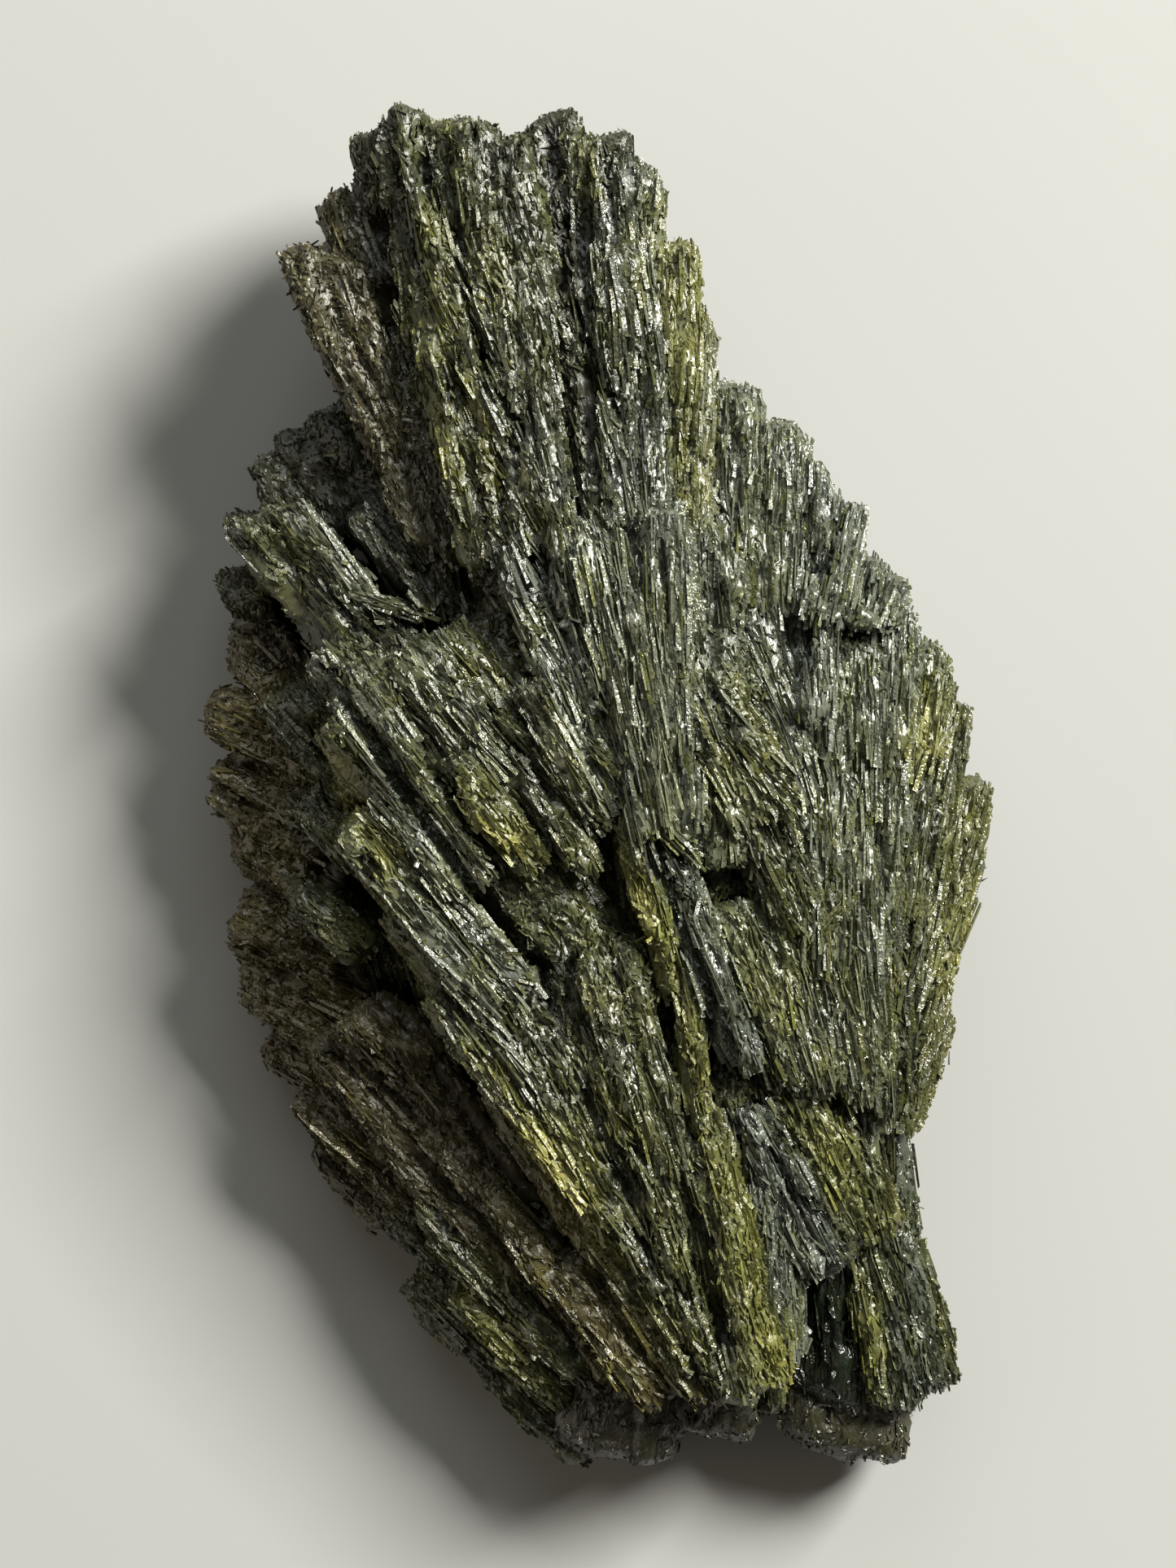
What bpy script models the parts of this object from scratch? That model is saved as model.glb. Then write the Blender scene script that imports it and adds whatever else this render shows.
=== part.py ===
"""Epidote crystal cluster: one radiating group of flat-faced, bladed crystals grown together.

The group lies on a flat break on its underside. X runs across it, Y along its length and
Z up through its thickness. Every crystal belongs to a sheaf, a bundle of near-parallel
blades that share a root and spread towards their tips.
"""
import math
import random
from collections import namedtuple

import bmesh
import bpy
from mathutils import Vector

NAME = "epidote_cluster"
MM = 0.001

# Driving dimensions, in millimetres
BREAK_LEVEL = 0.0
BREAK_SIDE = 80.0
BELOW_BREAK = 4.0
CENTRE_X = -0.146
CENTRE_Y = -0.172
SPREAD_OVERLAP = 1.34
TIP_STAGGER = 0.09
INNER_STAGGER = 0.4
ROOT_STAGGER = 0.05
TOP_DROP = 0.26
TOP_RISE = 0.16
UNDERSIDE_STAGGER = 0.5
WIDTH_VARIES = 0.32
LEAN = 0.22
MOST_SLOPE = 0.22
LEAST_BEVEL = 0.16
MOST_BEVEL = 0.36
BEVEL_FALL = 1.1
LOWER_LEFT_HALF = 0.78
LOWER_RIGHT_HALF = 0.72
LOWER_SLOPE = 0.3
MOST_WEDGE = 0.55
MOST_UNDERCUT = 0.1
APEX_REACH = 0.22
APEX_DROP = 0.45
THINNEST = 0.1
SAME_POINT = 0.001
SAME_PLANE_DEGREES = 0.3
SEED = 8

# A sheaf: its root and the middle of its tips (x, y), then its width, the height of its upper
# side and the height of its lower side, each at the root and at the tips, and how many blades
Sheaf = namedtuple("Sheaf", "name root tip width top bottom blades")

# The tall fan that stands out at the upper end
UPPER_FAN = (
    Sheaf("fan_rim", (-6.0, 9.8), (-11.2, 22.0), (1.6, 2.3), (11.8, 11.4), (5.6, 5.0), 2),
    Sheaf("fan_edge_lump", (-9.0, 19.2), (-10.7, 23.9), (1.6, 1.6), (10.6, 10.4), (5.6, 5.6), 1),
    Sheaf("fan_recess", (-4.9, 10.4), (-9.2, 24.0), (1.6, 2.3), (12.7, 11.2), (5.4, 5.8), 1),
    Sheaf("fan_crown", (-6.8, 18.0), (-8.4, 26.2), (1.8, 2.6), (12.2, 12.3), (5.5, 5.5), 2),
    Sheaf("fan_left", (-3.9, 9.4), (-7.2, 26.9), (2.0, 2.6), (14.0, 13.4), (5.0, 5.5), 3),
    Sheaf("fan_mid_left", (-1.9, 8.6), (-4.4, 26.6), (2.0, 3.0), (14.8, 13.8), (4.5, 5.5), 3),
    Sheaf("fan_channel", (-0.1, 12.0), (-1.7, 26.6), (1.1, 1.8), (14.0, 12.8), (4.5, 5.5), 1),
    Sheaf("fan_mid_right", (0.7, 8.4), (-0.1, 26.8), (1.4, 2.0), (14.8, 13.2), (4.5, 5.5), 2),
    Sheaf("fan_right", (1.9, 8.2), (1.3, 25.3), (1.3, 1.4), (14.8, 12.6), (4.5, 5.8), 2),
    Sheaf("fan_edge", (2.9, 8.0), (2.8, 22.3), (1.3, 1.5), (14.5, 11.9), (4.5, 6.0), 2),
    Sheaf("fan_edge_low", (3.8, 7.0), (4.0, 19.4), (1.0, 1.0), (14.0, 11.6), (4.5, 6.0), 1),
)

# The narrow place below the fan, the highest part of the group
WAIST = (
    Sheaf("waist_left", (1.3, -0.4), (-2.9, 10.0), (1.6, 2.4), (14.4, 14.7), (-1.0, 3.0), 2),
    Sheaf("waist_mid", (2.3, -1.2), (-0.3, 10.8), (1.5, 2.2), (14.8, 15.2), (-1.0, 3.0), 2),
    Sheaf("waist_right", (3.2, -1.6), (2.1, 11.4), (1.5, 2.2), (14.5, 15.1), (-1.0, 3.0), 2),
    Sheaf("waist_moss", (5.0, -2.8), (4.3, 10.2), (1.8, 2.0), (13.2, 13.9), (-1.0, 3.0), 2),
    Sheaf("cross_bar", (4.0, -2.8), (-0.3, 2.0), (0.5, 0.45), (14.5, 14.8), (10.0, 10.0), 1),
)

# The broad fan on the right, with its stepped rim
RIGHT_FAN = (
    Sheaf("right_inner", (5.6, 2.0), (5.3, 16.3), (1.6, 1.9), (13.2, 11.6), (1.0, 4.5), 2),
    Sheaf("right_second", (7.0, 1.0), (7.2, 15.2), (1.6, 1.9), (12.9, 11.2), (1.0, 4.2), 2),
    Sheaf("right_third", (8.2, 3.0), (8.6, 13.4), (1.5, 1.8), (12.8, 10.8), (1.0, 4.0), 2),
    Sheaf("right_fourth", (8.9, 6.8), (9.8, 11.4), (1.5, 1.7), (12.7, 10.6), (2.0, 4.0), 2),
    Sheaf("right_fifth", (10.2, 6.7), (10.7, 9.2), (1.6, 1.6), (12.3, 10.6), (2.0, 4.0), 1),
    Sheaf("right_step", (11.5, 6.9), (12.1, 8.3), (1.2, 1.0), (11.6, 10.4), (3.0, 4.0), 1),
    Sheaf("low_first", (9.0, -6.5), (8.9, 6.9), (1.5, 1.5), (12.3, 11.8), (-1.0, 2.0), 2),
    Sheaf("low_second", (10.4, -7.0), (10.3, 6.7), (1.4, 1.5), (11.9, 11.3), (-1.0, 2.0), 2),
    Sheaf("low_third", (11.4, -6.4), (11.9, 7.2), (1.3, 1.5), (11.6, 10.9), (-0.4, 2.5), 1),
    Sheaf("right_yellow", (12.0, -5.0), (13.5, 6.0), (1.3, 1.5), (11.2, 10.0), (0.5, 3.2), 2),
    Sheaf("right_outer", (12.2, -8.0), (14.4, 3.8), (1.3, 1.3), (10.6, 9.3), (1.0, 3.4), 1),
    Sheaf("right_lobe", (12.4, -10.0), (14.9, 0.6), (1.3, 1.7), (10.0, 8.8), (1.2, 3.6), 2),
    Sheaf("lobe_low", (12.4, -11.0), (14.6, -3.4), (1.2, 1.3), (9.2, 8.4), (1.4, 3.4), 1),
    Sheaf("right_hem", (12.3, -13.0), (13.8, -7.9), (1.2, 1.2), (8.6, 7.8), (1.4, 3.0), 1),
)

# The crystals of the lower right plate, between the yellow band and the edge
LOWER_RIGHT = (
    Sheaf("cross_ribs", (6.6, -0.8), (3.9, 4.6), (2.4, 2.4), (13.7, 14.0), (6.0, 6.0), 2),
    Sheaf("pale_ribs", (8.4, -5.4), (5.6, 1.2), (2.2, 2.2), (12.9, 13.3), (2.0, 2.0), 2),
    Sheaf("plate_a", (7.6, -11.6), (4.7, -3.8), (1.6, 1.8), (12.2, 13.1), (-1.0, -1.0), 2),
    Sheaf("plate_b", (9.2, -11.2), (6.6, -3.4), (1.4, 1.6), (12.0, 12.7), (-1.0, -1.0), 2),
    Sheaf("plate_c", (10.3, -11.8), (8.3, -3.6), (1.4, 1.5), (11.6, 12.4), (-1.0, -1.0), 2),
    Sheaf("plate_d", (11.2, -12.8), (10.3, -4.2), (1.3, 1.4), (10.9, 12.5), (-1.0, -1.0), 1),
    Sheaf("plate_e", (11.8, -13.2), (12.0, -4.6), (1.2, 1.4), (9.9, 11.5), (-0.4, 0.4), 2),
    Sheaf("v_crystal", (8.0, -6.4), (10.6, -3.7), (0.4, 0.5), (12.4, 12.8), (9.0, 9.0), 1),
    Sheaf("olive_block", (10.3, -17.8), (6.9, -10.4), (1.5, 1.5), (10.2, 11.9), (-1.0, -1.0), 2),
    Sheaf("silver_block", (9.2, -18.9), (5.9, -12.1), (1.7, 1.6), (10.4, 12.1), (-1.0, -1.0), 2),
    Sheaf("edge_block", (11.2, -17.6), (9.4, -12.0), (1.4, 1.4), (9.2, 10.8), (0.5, -0.5), 2),
    Sheaf("edge_tail", (12.0, -17.2), (11.4, -12.6), (1.2, 1.3), (7.6, 9.2), (1.0, 0.5), 1),
    Sheaf("silver_tail", (7.4, -22.3), (6.6, -14.4), (1.4, 1.3), (10.4, 11.6), (-0.4, -1.0), 1),
)

# The long yellow band, and the rods on either side of it
BAND = (
    Sheaf("band_top", (3.1, -7.5), (1.3, -0.8), (0.9, 1.1), (13.6, 14.0), (8.0, 8.0), 1),
    Sheaf("band_mid", (4.5, -13.2), (3.2, -6.7), (0.9, 1.0), (12.8, 13.4), (8.0, 8.0), 1),
    Sheaf("band_low", (6.0, -19.2), (4.4, -12.3), (1.1, 1.0), (11.7, 12.8), (6.0, 8.0), 1),
    Sheaf("band_end", (6.9, -23.3), (5.8, -18.3), (1.4, 1.1), (10.7, 11.8), (4.0, 6.0), 1),
    Sheaf("bright_rod", (5.8, -10.4), (2.2, -0.9), (0.9, 1.0), (13.4, 14.5), (6.0, 8.0), 2),
    Sheaf("low_a", (2.9, -14.2), (0.3, -5.4), (1.6, 1.9), (12.8, 13.2), (-1.0, -1.0), 2),
    Sheaf("low_b", (2.4, -16.4), (-1.8, -6.4), (1.5, 1.8), (12.5, 12.9), (-1.0, -1.0), 2),
    Sheaf("low_c", (2.8, -19.0), (-3.9, -7.0), (1.4, 1.8), (12.0, 12.9), (-1.0, -1.0), 2),
    Sheaf("yellow_ridge", (3.9, -22.0), (-4.5, -9.1), (1.3, 1.2), (11.2, 12.4), (-1.0, -1.0), 2),
    Sheaf("low_e", (4.6, -23.0), (1.0, -13.6), (1.5, 1.6), (11.1, 12.6), (-1.0, -1.0), 2),
    Sheaf("low_f", (5.8, -23.4), (3.2, -13.2), (1.3, 1.4), (11.1, 12.6), (-1.0, -1.0), 2),
    Sheaf("ridge_wall", (4.4, -23.5), (-4.0, -11.0), (1.3, 1.2), (10.1, 11.3), (0.0, 0.0), 2),
)

# The stepped ridge down the left of the plate, and the knolls behind it
LEFT_RIDGE = (
    Sheaf("ridge_head", (-4.6, -3.4), (-10.0, 3.9), (2.6, 2.8), (13.2, 12.8), (-1.0, 0.5), 3),
    Sheaf("ridge_nose", (-8.6, 3.2), (-11.1, 5.5), (1.1, 1.2), (12.6, 12.1), (4.0, 5.0), 1),
    Sheaf("ridge_second", (-3.4, -7.8), (-9.5, -0.5), (2.0, 2.0), (12.9, 12.5), (-1.0, 0.5), 2),
    Sheaf("ridge_third", (-2.9, -10.4), (-8.0, -4.1), (1.6, 1.6), (12.6, 12.1), (-1.0, 0.5), 2),
    Sheaf("ridge_fourth", (-2.4, -12.4), (-6.5, -7.4), (1.3, 1.3), (12.2, 11.7), (-1.0, 0.5), 1),
    Sheaf("moss_floor", (1.4, -8.8), (-3.4, -2.4), (2.6, 3.6), (12.3, 12.6), (-1.0, -1.0), 2),
    Sheaf("knoll_a", (-2.1, -2.9), (-5.7, 1.6), (1.2, 1.5), (13.9, 14.2), (6.0, 6.0), 2),
    Sheaf("knoll_b", (-0.4, -2.8), (-3.4, 1.7), (0.9, 1.0), (14.1, 14.6), (6.0, 6.0), 1),
    Sheaf("knoll_c", (-1.8, 0.0), (-5.2, 4.2), (1.3, 1.5), (13.6, 13.9), (6.0, 6.0), 2),
    Sheaf("knoll_d", (0.6, -1.2), (-2.6, 4.5), (1.3, 1.5), (14.2, 14.5), (6.0, 6.0), 2),
    Sheaf("brow_a", (-4.2, 1.4), (-7.5, 5.9), (1.8, 2.2), (13.2, 13.0), (0.0, 2.0), 2),
    Sheaf("brow_b", (-6.0, -0.6), (-9.3, 5.6), (1.6, 1.8), (12.9, 12.6), (0.0, 2.0), 2),
    Sheaf("brow_c", (-2.6, 3.0), (-5.3, 7.5), (1.8, 2.0), (13.2, 12.4), (0.0, 3.0), 2),
    Sheaf("moss_knob", (-1.6, 5.2), (-4.0, 9.2), (1.8, 2.2), (13.2, 12.2), (2.0, 5.0), 2),
)

# The smaller, lower cluster at the upper left
WEST_CLUSTER = (
    Sheaf("west_plate", (-8.6, 5.4), (-13.4, 11.3), (2.4, 2.9), (11.4, 10.6), (2.0, 3.0), 3),
    Sheaf("west_fan", (-5.8, 7.2), (-8.9, 12.2), (1.6, 2.0), (11.7, 11.0), (3.0, 4.0), 2),
    Sheaf("west_bridge", (-7.0, 6.9), (-9.5, 7.8), (0.34, 0.34), (11.7, 11.5), (8.0, 8.0), 1),
    Sheaf("shoulder", (-8.2, 11.6), (-10.7, 15.7), (1.8, 2.2), (8.6, 8.0), (3.0, 3.6), 2),
    Sheaf("shoulder_low", (-9.4, 10.4), (-12.0, 14.5), (2.0, 2.0), (8.2, 7.6), (3.0, 3.4), 1),
    Sheaf("west_lump", (-11.2, 10.2), (-13.2, 13.5), (1.4, 1.4), (8.0, 7.4), (3.0, 3.4), 1),
    Sheaf("west_corner", (-12.2, 8.4), (-14.4, 11.2), (1.4, 1.4), (7.6, 7.0), (2.4, 3.0), 1),
    Sheaf("corner_low", (-12.0, 5.8), (-14.7, 8.9), (1.6, 1.8), (7.0, 6.2), (2.0, 2.6), 1),
)

# The rough lower layer along the left edge
LEFT_EDGE = (
    Sheaf("edge_top", (-11.2, 3.4), (-14.5, 6.2), (1.8, 2.2), (8.0, 6.6), (1.6, 2.4), 1),
    Sheaf("edge_a", (-10.8, 1.4), (-15.4, 3.4), (2.2, 2.2), (8.0, 6.2), (1.0, 2.4), 1),
    Sheaf("edge_b", (-10.6, -1.4), (-15.4, 0.9), (2.6, 2.2), (7.6, 5.8), (0.6, 2.2), 2),
    Sheaf("edge_c", (-9.8, -4.4), (-14.5, -1.7), (2.6, 2.4), (7.6, 5.8), (0.4, 2.0), 1),
    Sheaf("edge_d", (-9.4, -7.6), (-14.8, -4.9), (2.2, 2.3), (7.2, 5.4), (0.2, 1.8), 2),
    Sheaf("edge_e", (-8.6, -10.6), (-14.2, -7.3), (2.4, 2.3), (6.8, 4.8), (0.0, 1.6), 1),
    Sheaf("edge_f", (-7.6, -13.4), (-13.0, -10.2), (2.4, 2.3), (6.0, 4.4), (0.0, 1.4), 1),
    Sheaf("inner_west", (-9.6, 0.2), (-12.8, 4.2), (1.6, 2.0), (8.9, 8.6), (2.0, 2.0), 2),
    Sheaf("mid_lump", (-9.6, -3.0), (-12.0, -0.2), (1.3, 1.5), (9.2, 9.2), (2.0, 2.0), 1),
    Sheaf("finger", (-9.4, -6.2), (-12.1, -3.8), (1.0, 1.2), (9.6, 9.9), (3.0, 3.0), 1),
)

# The long shaded flank below the ridge, in steps that go down to the left
FLANK = (
    Sheaf("flank_a", (-2.0, -17.6), (-9.8, -8.3), (1.6, 2.2), (8.9, 9.3), (-1.0, 1.0), 2),
    Sheaf("flank_b", (-2.4, -19.4), (-10.9, -9.6), (1.6, 1.8), (7.6, 7.6), (-1.0, 0.8), 2),
    Sheaf("flank_c", (-3.2, -20.0), (-11.6, -12.0), (1.6, 1.8), (6.2, 5.8), (-0.6, 0.8), 2),
    Sheaf("flank_d", (-4.4, -20.6), (-11.2, -14.2), (1.6, 1.8), (5.0, 4.6), (0.2, 1.0), 1),
    Sheaf("flank_e", (0.8, -22.8), (-4.2, -15.3), (1.4, 1.6), (9.2, 9.3), (-1.0, -1.0), 1),
    Sheaf("flank_f", (2.8, -23.8), (-1.4, -18.1), (1.6, 1.4), (9.4, 9.7), (-0.6, -1.0), 2),
    Sheaf("flank_g", (-0.6, -22.8), (-7.0, -16.1), (1.6, 1.4), (7.6, 7.2), (-0.6, 0.0), 2),
    Sheaf("flank_h", (-2.0, -22.9), (-8.3, -17.2), (1.8, 1.7), (5.6, 5.0), (0.2, 0.8), 1),
    Sheaf("green_fan", (1.0, -24.2), (-2.9, -20.2), (1.6, 1.8), (7.4, 7.6), (1.0, 1.0), 2),
    Sheaf("green_crystal", (-1.0, -24.4), (-5.5, -20.1), (1.3, 1.2), (6.6, 6.8), (1.0, 1.0), 1),
    Sheaf("hem_low", (-0.6, -26.2), (-7.4, -20.0), (1.6, 1.6), (4.8, 4.2), (0.8, 1.2), 1),
)

# The dark broken lower end, and the spur beside it. Their free ends point down the length
LOWER_END = (
    Sheaf("end_left", (1.2, -20.6), (-0.2, -26.8), (3.0, 3.0), (8.2, 6.8), (0.0, 1.6), 2),
    Sheaf("end_mid", (3.0, -20.6), (2.3, -26.9), (2.4, 2.0), (8.8, 7.0), (0.0, 1.6), 1),
    Sheaf("end_right", (5.0, -20.4), (4.9, -26.0), (2.6, 2.8), (9.2, 7.4), (0.4, 1.8), 2),
    Sheaf("end_nib", (6.6, -20.6), (6.9, -24.9), (1.4, 1.3), (9.0, 7.6), (1.0, 2.0), 1),
    Sheaf("spur_face", (9.3, -18.0), (9.4, -24.4), (2.5, 2.6), (7.4, 6.8), (1.0, 1.8), 1),
    Sheaf("spur_strip", (10.6, -18.8), (11.6, -24.9), (0.8, 0.9), (7.9, 7.2), (1.0, 1.8), 1),
    Sheaf("spur_rays", (10.5, -14.6), (12.9, -24.7), (1.9, 2.0), (8.5, 6.8), (1.0, 2.0), 2),
    Sheaf("spur_edge", (11.7, -13.0), (12.6, -22.6), (1.1, 1.3), (7.6, 6.4), (1.0, 2.2), 1),
    Sheaf("spur_corner", (12.3, -18.0), (13.9, -24.0), (1.2, 1.7), (6.8, 6.0), (1.4, 2.2), 1),
    Sheaf("spur_toe", (10.8, -20.0), (10.9, -27.1), (2.8, 3.5), (6.4, 5.4), (1.0, 2.0), 2),
    Sheaf("toe_left", (8.6, -20.0), (8.9, -26.4), (2.2, 2.2), (6.2, 5.6), (1.0, 2.0), 1),
)

# The thick crystals in the middle that the rest have grown on
HEART = (
    Sheaf("heart_fan", (0.6, 5.0), (-3.6, 23.6), (6.0, 8.6), (12.4, 10.4), (4.6, 6.4), 1),
    Sheaf("heart_main", (3.2, -21.6), (-1.4, 10.6), (6.0, 12.4), (9.0, 11.8), (-1.4, -1.2), 1),
    Sheaf("heart_right", (8.4, -16.4), (8.6, 10.0), (6.0, 7.6), (7.6, 9.0), (-1.3, 2.4), 1),
    Sheaf("heart_left", (0.2, -21.0), (-8.2, 6.4), (7.4, 10.2), (6.6, 8.0), (-1.2, -1.3), 1),
    Sheaf("heart_west", (-5.0, -8.0), (-11.4, 9.4), (8.4, 6.0), (6.8, 6.6), (-1.1, 1.8), 1),
    Sheaf("heart_spur", (9.8, -12.6), (10.9, -24.0), (3.6, 4.4), (6.0, 5.0), (-0.3, 1.8), 1),
)

SHEAVES = (UPPER_FAN + WAIST + RIGHT_FAN + LOWER_RIGHT + BAND + LEFT_RIDGE + WEST_CLUSTER
           + LEFT_EDGE + FLANK + LOWER_END + HEART)

# One crystal: root and tip centres, then its width, top and bottom at each end, the slope of its
# upper face, how much each upper corner is bevelled, and how its end is cut
Blade = namedtuple("Blade", "name root tip width top bottom slope bevel cut")


def split_sheaf(sheaf, chance):
    """Return the blades of one sheaf, side by side across it, with staggered tips and tops."""
    root = Vector(sheaf.root)
    tip = Vector(sheaf.tip)
    along = (tip - root).normalized()
    across = Vector((along.y, -along.x))
    length = (tip - root).length
    weights = [chance.uniform(1 - WIDTH_VARIES, 1 + WIDTH_VARIES) for _ in range(sheaf.blades)]
    blades = []
    reached = 0.0
    for weight in weights:
        part_of = weight / sum(weights)
        place = 2 * (reached + part_of / 2) - 1
        reached += part_of
        alone = sheaf.blades == 1
        tip_back = length * TIP_STAGGER * chance.random() * (INNER_STAGGER + (1 - INNER_STAGGER) * abs(place))
        root_back = length * ROOT_STAGGER * chance.uniform(-1, 1)
        lift = 0.0 if alone else chance.uniform(-TOP_DROP, TOP_RISE)
        lean = 0.0 if alone else LEAN * chance.uniform(-1, 1)
        share = [width * (1.0 if alone else SPREAD_OVERLAP * part_of) for width in sheaf.width]
        offsets = [place * sheaf.width[0] / 2, place * sheaf.width[1] / 2 + lean]
        blades.append(Blade(
            name=sheaf.name,
            root=root + across * offsets[0] + along * root_back,
            tip=tip + across * offsets[1] - along * tip_back,
            width=share,
            top=[height + lift for height in sheaf.top],
            bottom=[height + UNDERSIDE_STAGGER * chance.uniform(-1, 1)
                    for height in sheaf.bottom],
            slope=chance.uniform(-MOST_SLOPE, MOST_SLOPE),
            bevel=[chance.uniform(LEAST_BEVEL, MOST_BEVEL) for _ in range(2)],
            cut=(chance.uniform(-MOST_WEDGE, MOST_WEDGE),
                 chance.uniform(-MOST_UNDERCUT, MOST_WEDGE)),
        ))
    return blades


def blade_section(blade, end):
    """Return the six corners of a blade's cross-section at one end, as (across, height)."""
    half = blade.width[end] / 2
    top = blade.top[end]
    bottom = blade.bottom[end]
    left_bevel, right_bevel = (share * blade.width[end] for share in blade.bevel)
    left_top = top - blade.slope * half
    right_top = top + blade.slope * half
    return (
        (-half + left_bevel, left_top),
        (half - right_bevel, right_top),
        (half, right_top - BEVEL_FALL * right_bevel),
        (LOWER_RIGHT_HALF * half, bottom),
        (-LOWER_LEFT_HALF * half, bottom + LOWER_SLOPE * blade.slope),
        (-half, left_top - BEVEL_FALL * left_bevel),
    )


def blade_mesh(blade):
    """Build one crystal: a tapered six-sided prism with an oblique, faceted termination."""
    along = (blade.tip - blade.root).normalized()
    across = Vector((along.y, -along.x))
    made = bmesh.new()
    rings = []
    for end, centre in enumerate((blade.root, blade.tip)):
        middle = (blade.top[end] + blade.bottom[end]) / 2
        depth = max(blade.top[end] - blade.bottom[end], THINNEST)
        corners = blade_section(blade, end)
        ring = []
        for side, height in corners:
            sideways = 2 * side / blade.width[end]
            upward = 2 * (height - middle) / depth
            push = end * (blade.cut[0] * sideways * blade.width[1] / 2 - blade.cut[1] * upward)
            place = centre + across * side + along * push
            ring.append(made.verts.new((place.x, place.y, height)))
        rings.append(ring)
    peak = blade.tip + along * APEX_REACH * blade.width[1]
    crest = blade.top[1] - APEX_DROP * (blade.top[1] - blade.bottom[1])
    apex = made.verts.new((peak.x, peak.y, crest))
    count = len(rings[0])
    for index in range(count):
        follow = (index + 1) % count
        made.faces.new((rings[0][index], rings[0][follow], rings[1][follow], rings[1][index]))
        made.faces.new((rings[1][index], rings[1][follow], apex))
    made.faces.new(list(reversed(rings[0])))
    bmesh.ops.recalc_face_normals(made, faces=made.faces)
    bmesh.ops.translate(made, verts=made.verts, vec=(-CENTRE_X, -CENTRE_Y, 0))
    bmesh.ops.scale(made, verts=made.verts, vec=(MM, MM, MM))
    mesh = bpy.data.meshes.new(blade.name)
    made.to_mesh(mesh)
    made.free()
    return mesh


def add_tool(mesh, collection):
    """Put a mesh in the scene as a hidden tool shape."""
    tool = bpy.data.objects.new(mesh.name, mesh)
    tool.hide_render = True
    tool.display_type = 'WIRE'
    collection.objects.link(tool)
    return tool


def break_mesh():
    """Build the block whose upper side is the flat break that the group rests on."""
    made = bmesh.new()
    bmesh.ops.create_cube(made, size=1.0)
    size = (BREAK_SIDE * MM, BREAK_SIDE * MM, BELOW_BREAK * MM)
    bmesh.ops.scale(made, verts=made.verts, vec=size)
    drop = (BREAK_LEVEL - BELOW_BREAK / 2) * MM
    bmesh.ops.translate(made, verts=made.verts, vec=(0, 0, drop))
    mesh = bpy.data.meshes.new("flat_break")
    made.to_mesh(mesh)
    made.free()
    return mesh


def pieces_of(made):
    """Return the connected sets of faces in a bmesh."""
    left = set(made.faces)
    pieces = []
    while left:
        start = left.pop()
        piece = {start}
        front = [start]
        while front:
            face = front.pop()
            for edge in face.edges:
                for other in edge.link_faces:
                    if other in left:
                        left.discard(other)
                        piece.add(other)
                        front.append(other)
        pieces.append(piece)
    return pieces


def piece_extent(piece):
    """Return the length of the diagonal of the box around a set of faces."""
    points = [vert.co for face in piece for vert in face.verts]
    spans = [max(point[axis] for point in points) - min(point[axis] for point in points)
             for axis in range(3)]
    return math.dist(spans, (0, 0, 0))


def outer_skin(mesh):
    """Keep the outer surface alone, without the small hollows shut in between crystals."""
    made = bmesh.new()
    made.from_mesh(mesh)
    pieces = sorted(pieces_of(made), key=piece_extent)
    for piece in pieces[:-1]:
        bmesh.ops.delete(made, geom=list(piece), context='FACES')
    bmesh.ops.remove_doubles(made, verts=made.verts, dist=SAME_POINT * MM)
    bmesh.ops.dissolve_limit(made, angle_limit=math.radians(SAME_PLANE_DEGREES),
                             verts=made.verts, edges=made.edges)
    bmesh.ops.triangulate(made, faces=made.faces)
    made.to_mesh(mesh)
    made.free()


def make_material():
    """Make the dark bottle-green, glassy finish of the crystals."""
    material = bpy.data.materials.new("epidote")
    material.use_nodes = True
    shader = material.node_tree.nodes["Principled BSDF"]
    shader.inputs["Base Color"].default_value = (0.045, 0.060, 0.028, 1)
    shader.inputs["Roughness"].default_value = 0.28
    shader.inputs["Metallic"].default_value = 0.0
    shader.inputs["IOR"].default_value = 1.74
    return material


def main():
    for thing in list(bpy.data.objects):
        bpy.data.objects.remove(thing, do_unlink=True)
    scene = bpy.context.scene
    cluster = bpy.data.collections.new(NAME)
    tools = bpy.data.collections.new("crystal_tools")
    scene.collection.children.link(cluster)
    scene.collection.children.link(tools)

    chance = random.Random(SEED)
    blades = [blade for sheaf in SHEAVES for blade in split_sheaf(sheaf, chance)]
    base_mesh = blade_mesh(blades[-1])
    base_mesh.name = NAME
    rough = bpy.data.objects.new("rough", base_mesh)
    cluster.objects.link(rough)
    for blade in blades[:-1]:
        add_tool(blade_mesh(blade), tools)
    union = rough.modifiers.new("grown_together", 'BOOLEAN')
    union.operation = 'UNION'
    union.solver = 'EXACT'
    union.operand_type = 'COLLECTION'
    union.collection = tools

    trims = bpy.data.collections.new("break_tool")
    scene.collection.children.link(trims)
    flat_break = add_tool(break_mesh(), trims)
    trim = rough.modifiers.new("flat_break", 'BOOLEAN')
    trim.operation = 'DIFFERENCE'
    # The exact solver loses most of the body on this one cut, so the manifold solver makes it
    trim.solver = 'MANIFOLD'
    trim.object = flat_break

    bpy.context.view_layer.update()
    depsgraph = bpy.context.evaluated_depsgraph_get()
    mesh = bpy.data.meshes.new_from_object(rough.evaluated_get(depsgraph))
    outer_skin(mesh)
    mesh.materials.clear()
    mesh.materials.append(make_material())
    mesh.name = NAME
    bpy.data.objects.remove(rough, do_unlink=True)
    solid = bpy.data.objects.new(NAME, mesh)
    cluster.objects.link(solid)


main()
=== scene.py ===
"""Looks of the epidote crystal cluster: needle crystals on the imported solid, light and camera."""
import random
from collections import namedtuple

import bpy
import numpy as np
from mathutils import Matrix, Vector
from mathutils.kdtree import KDTree


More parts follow.
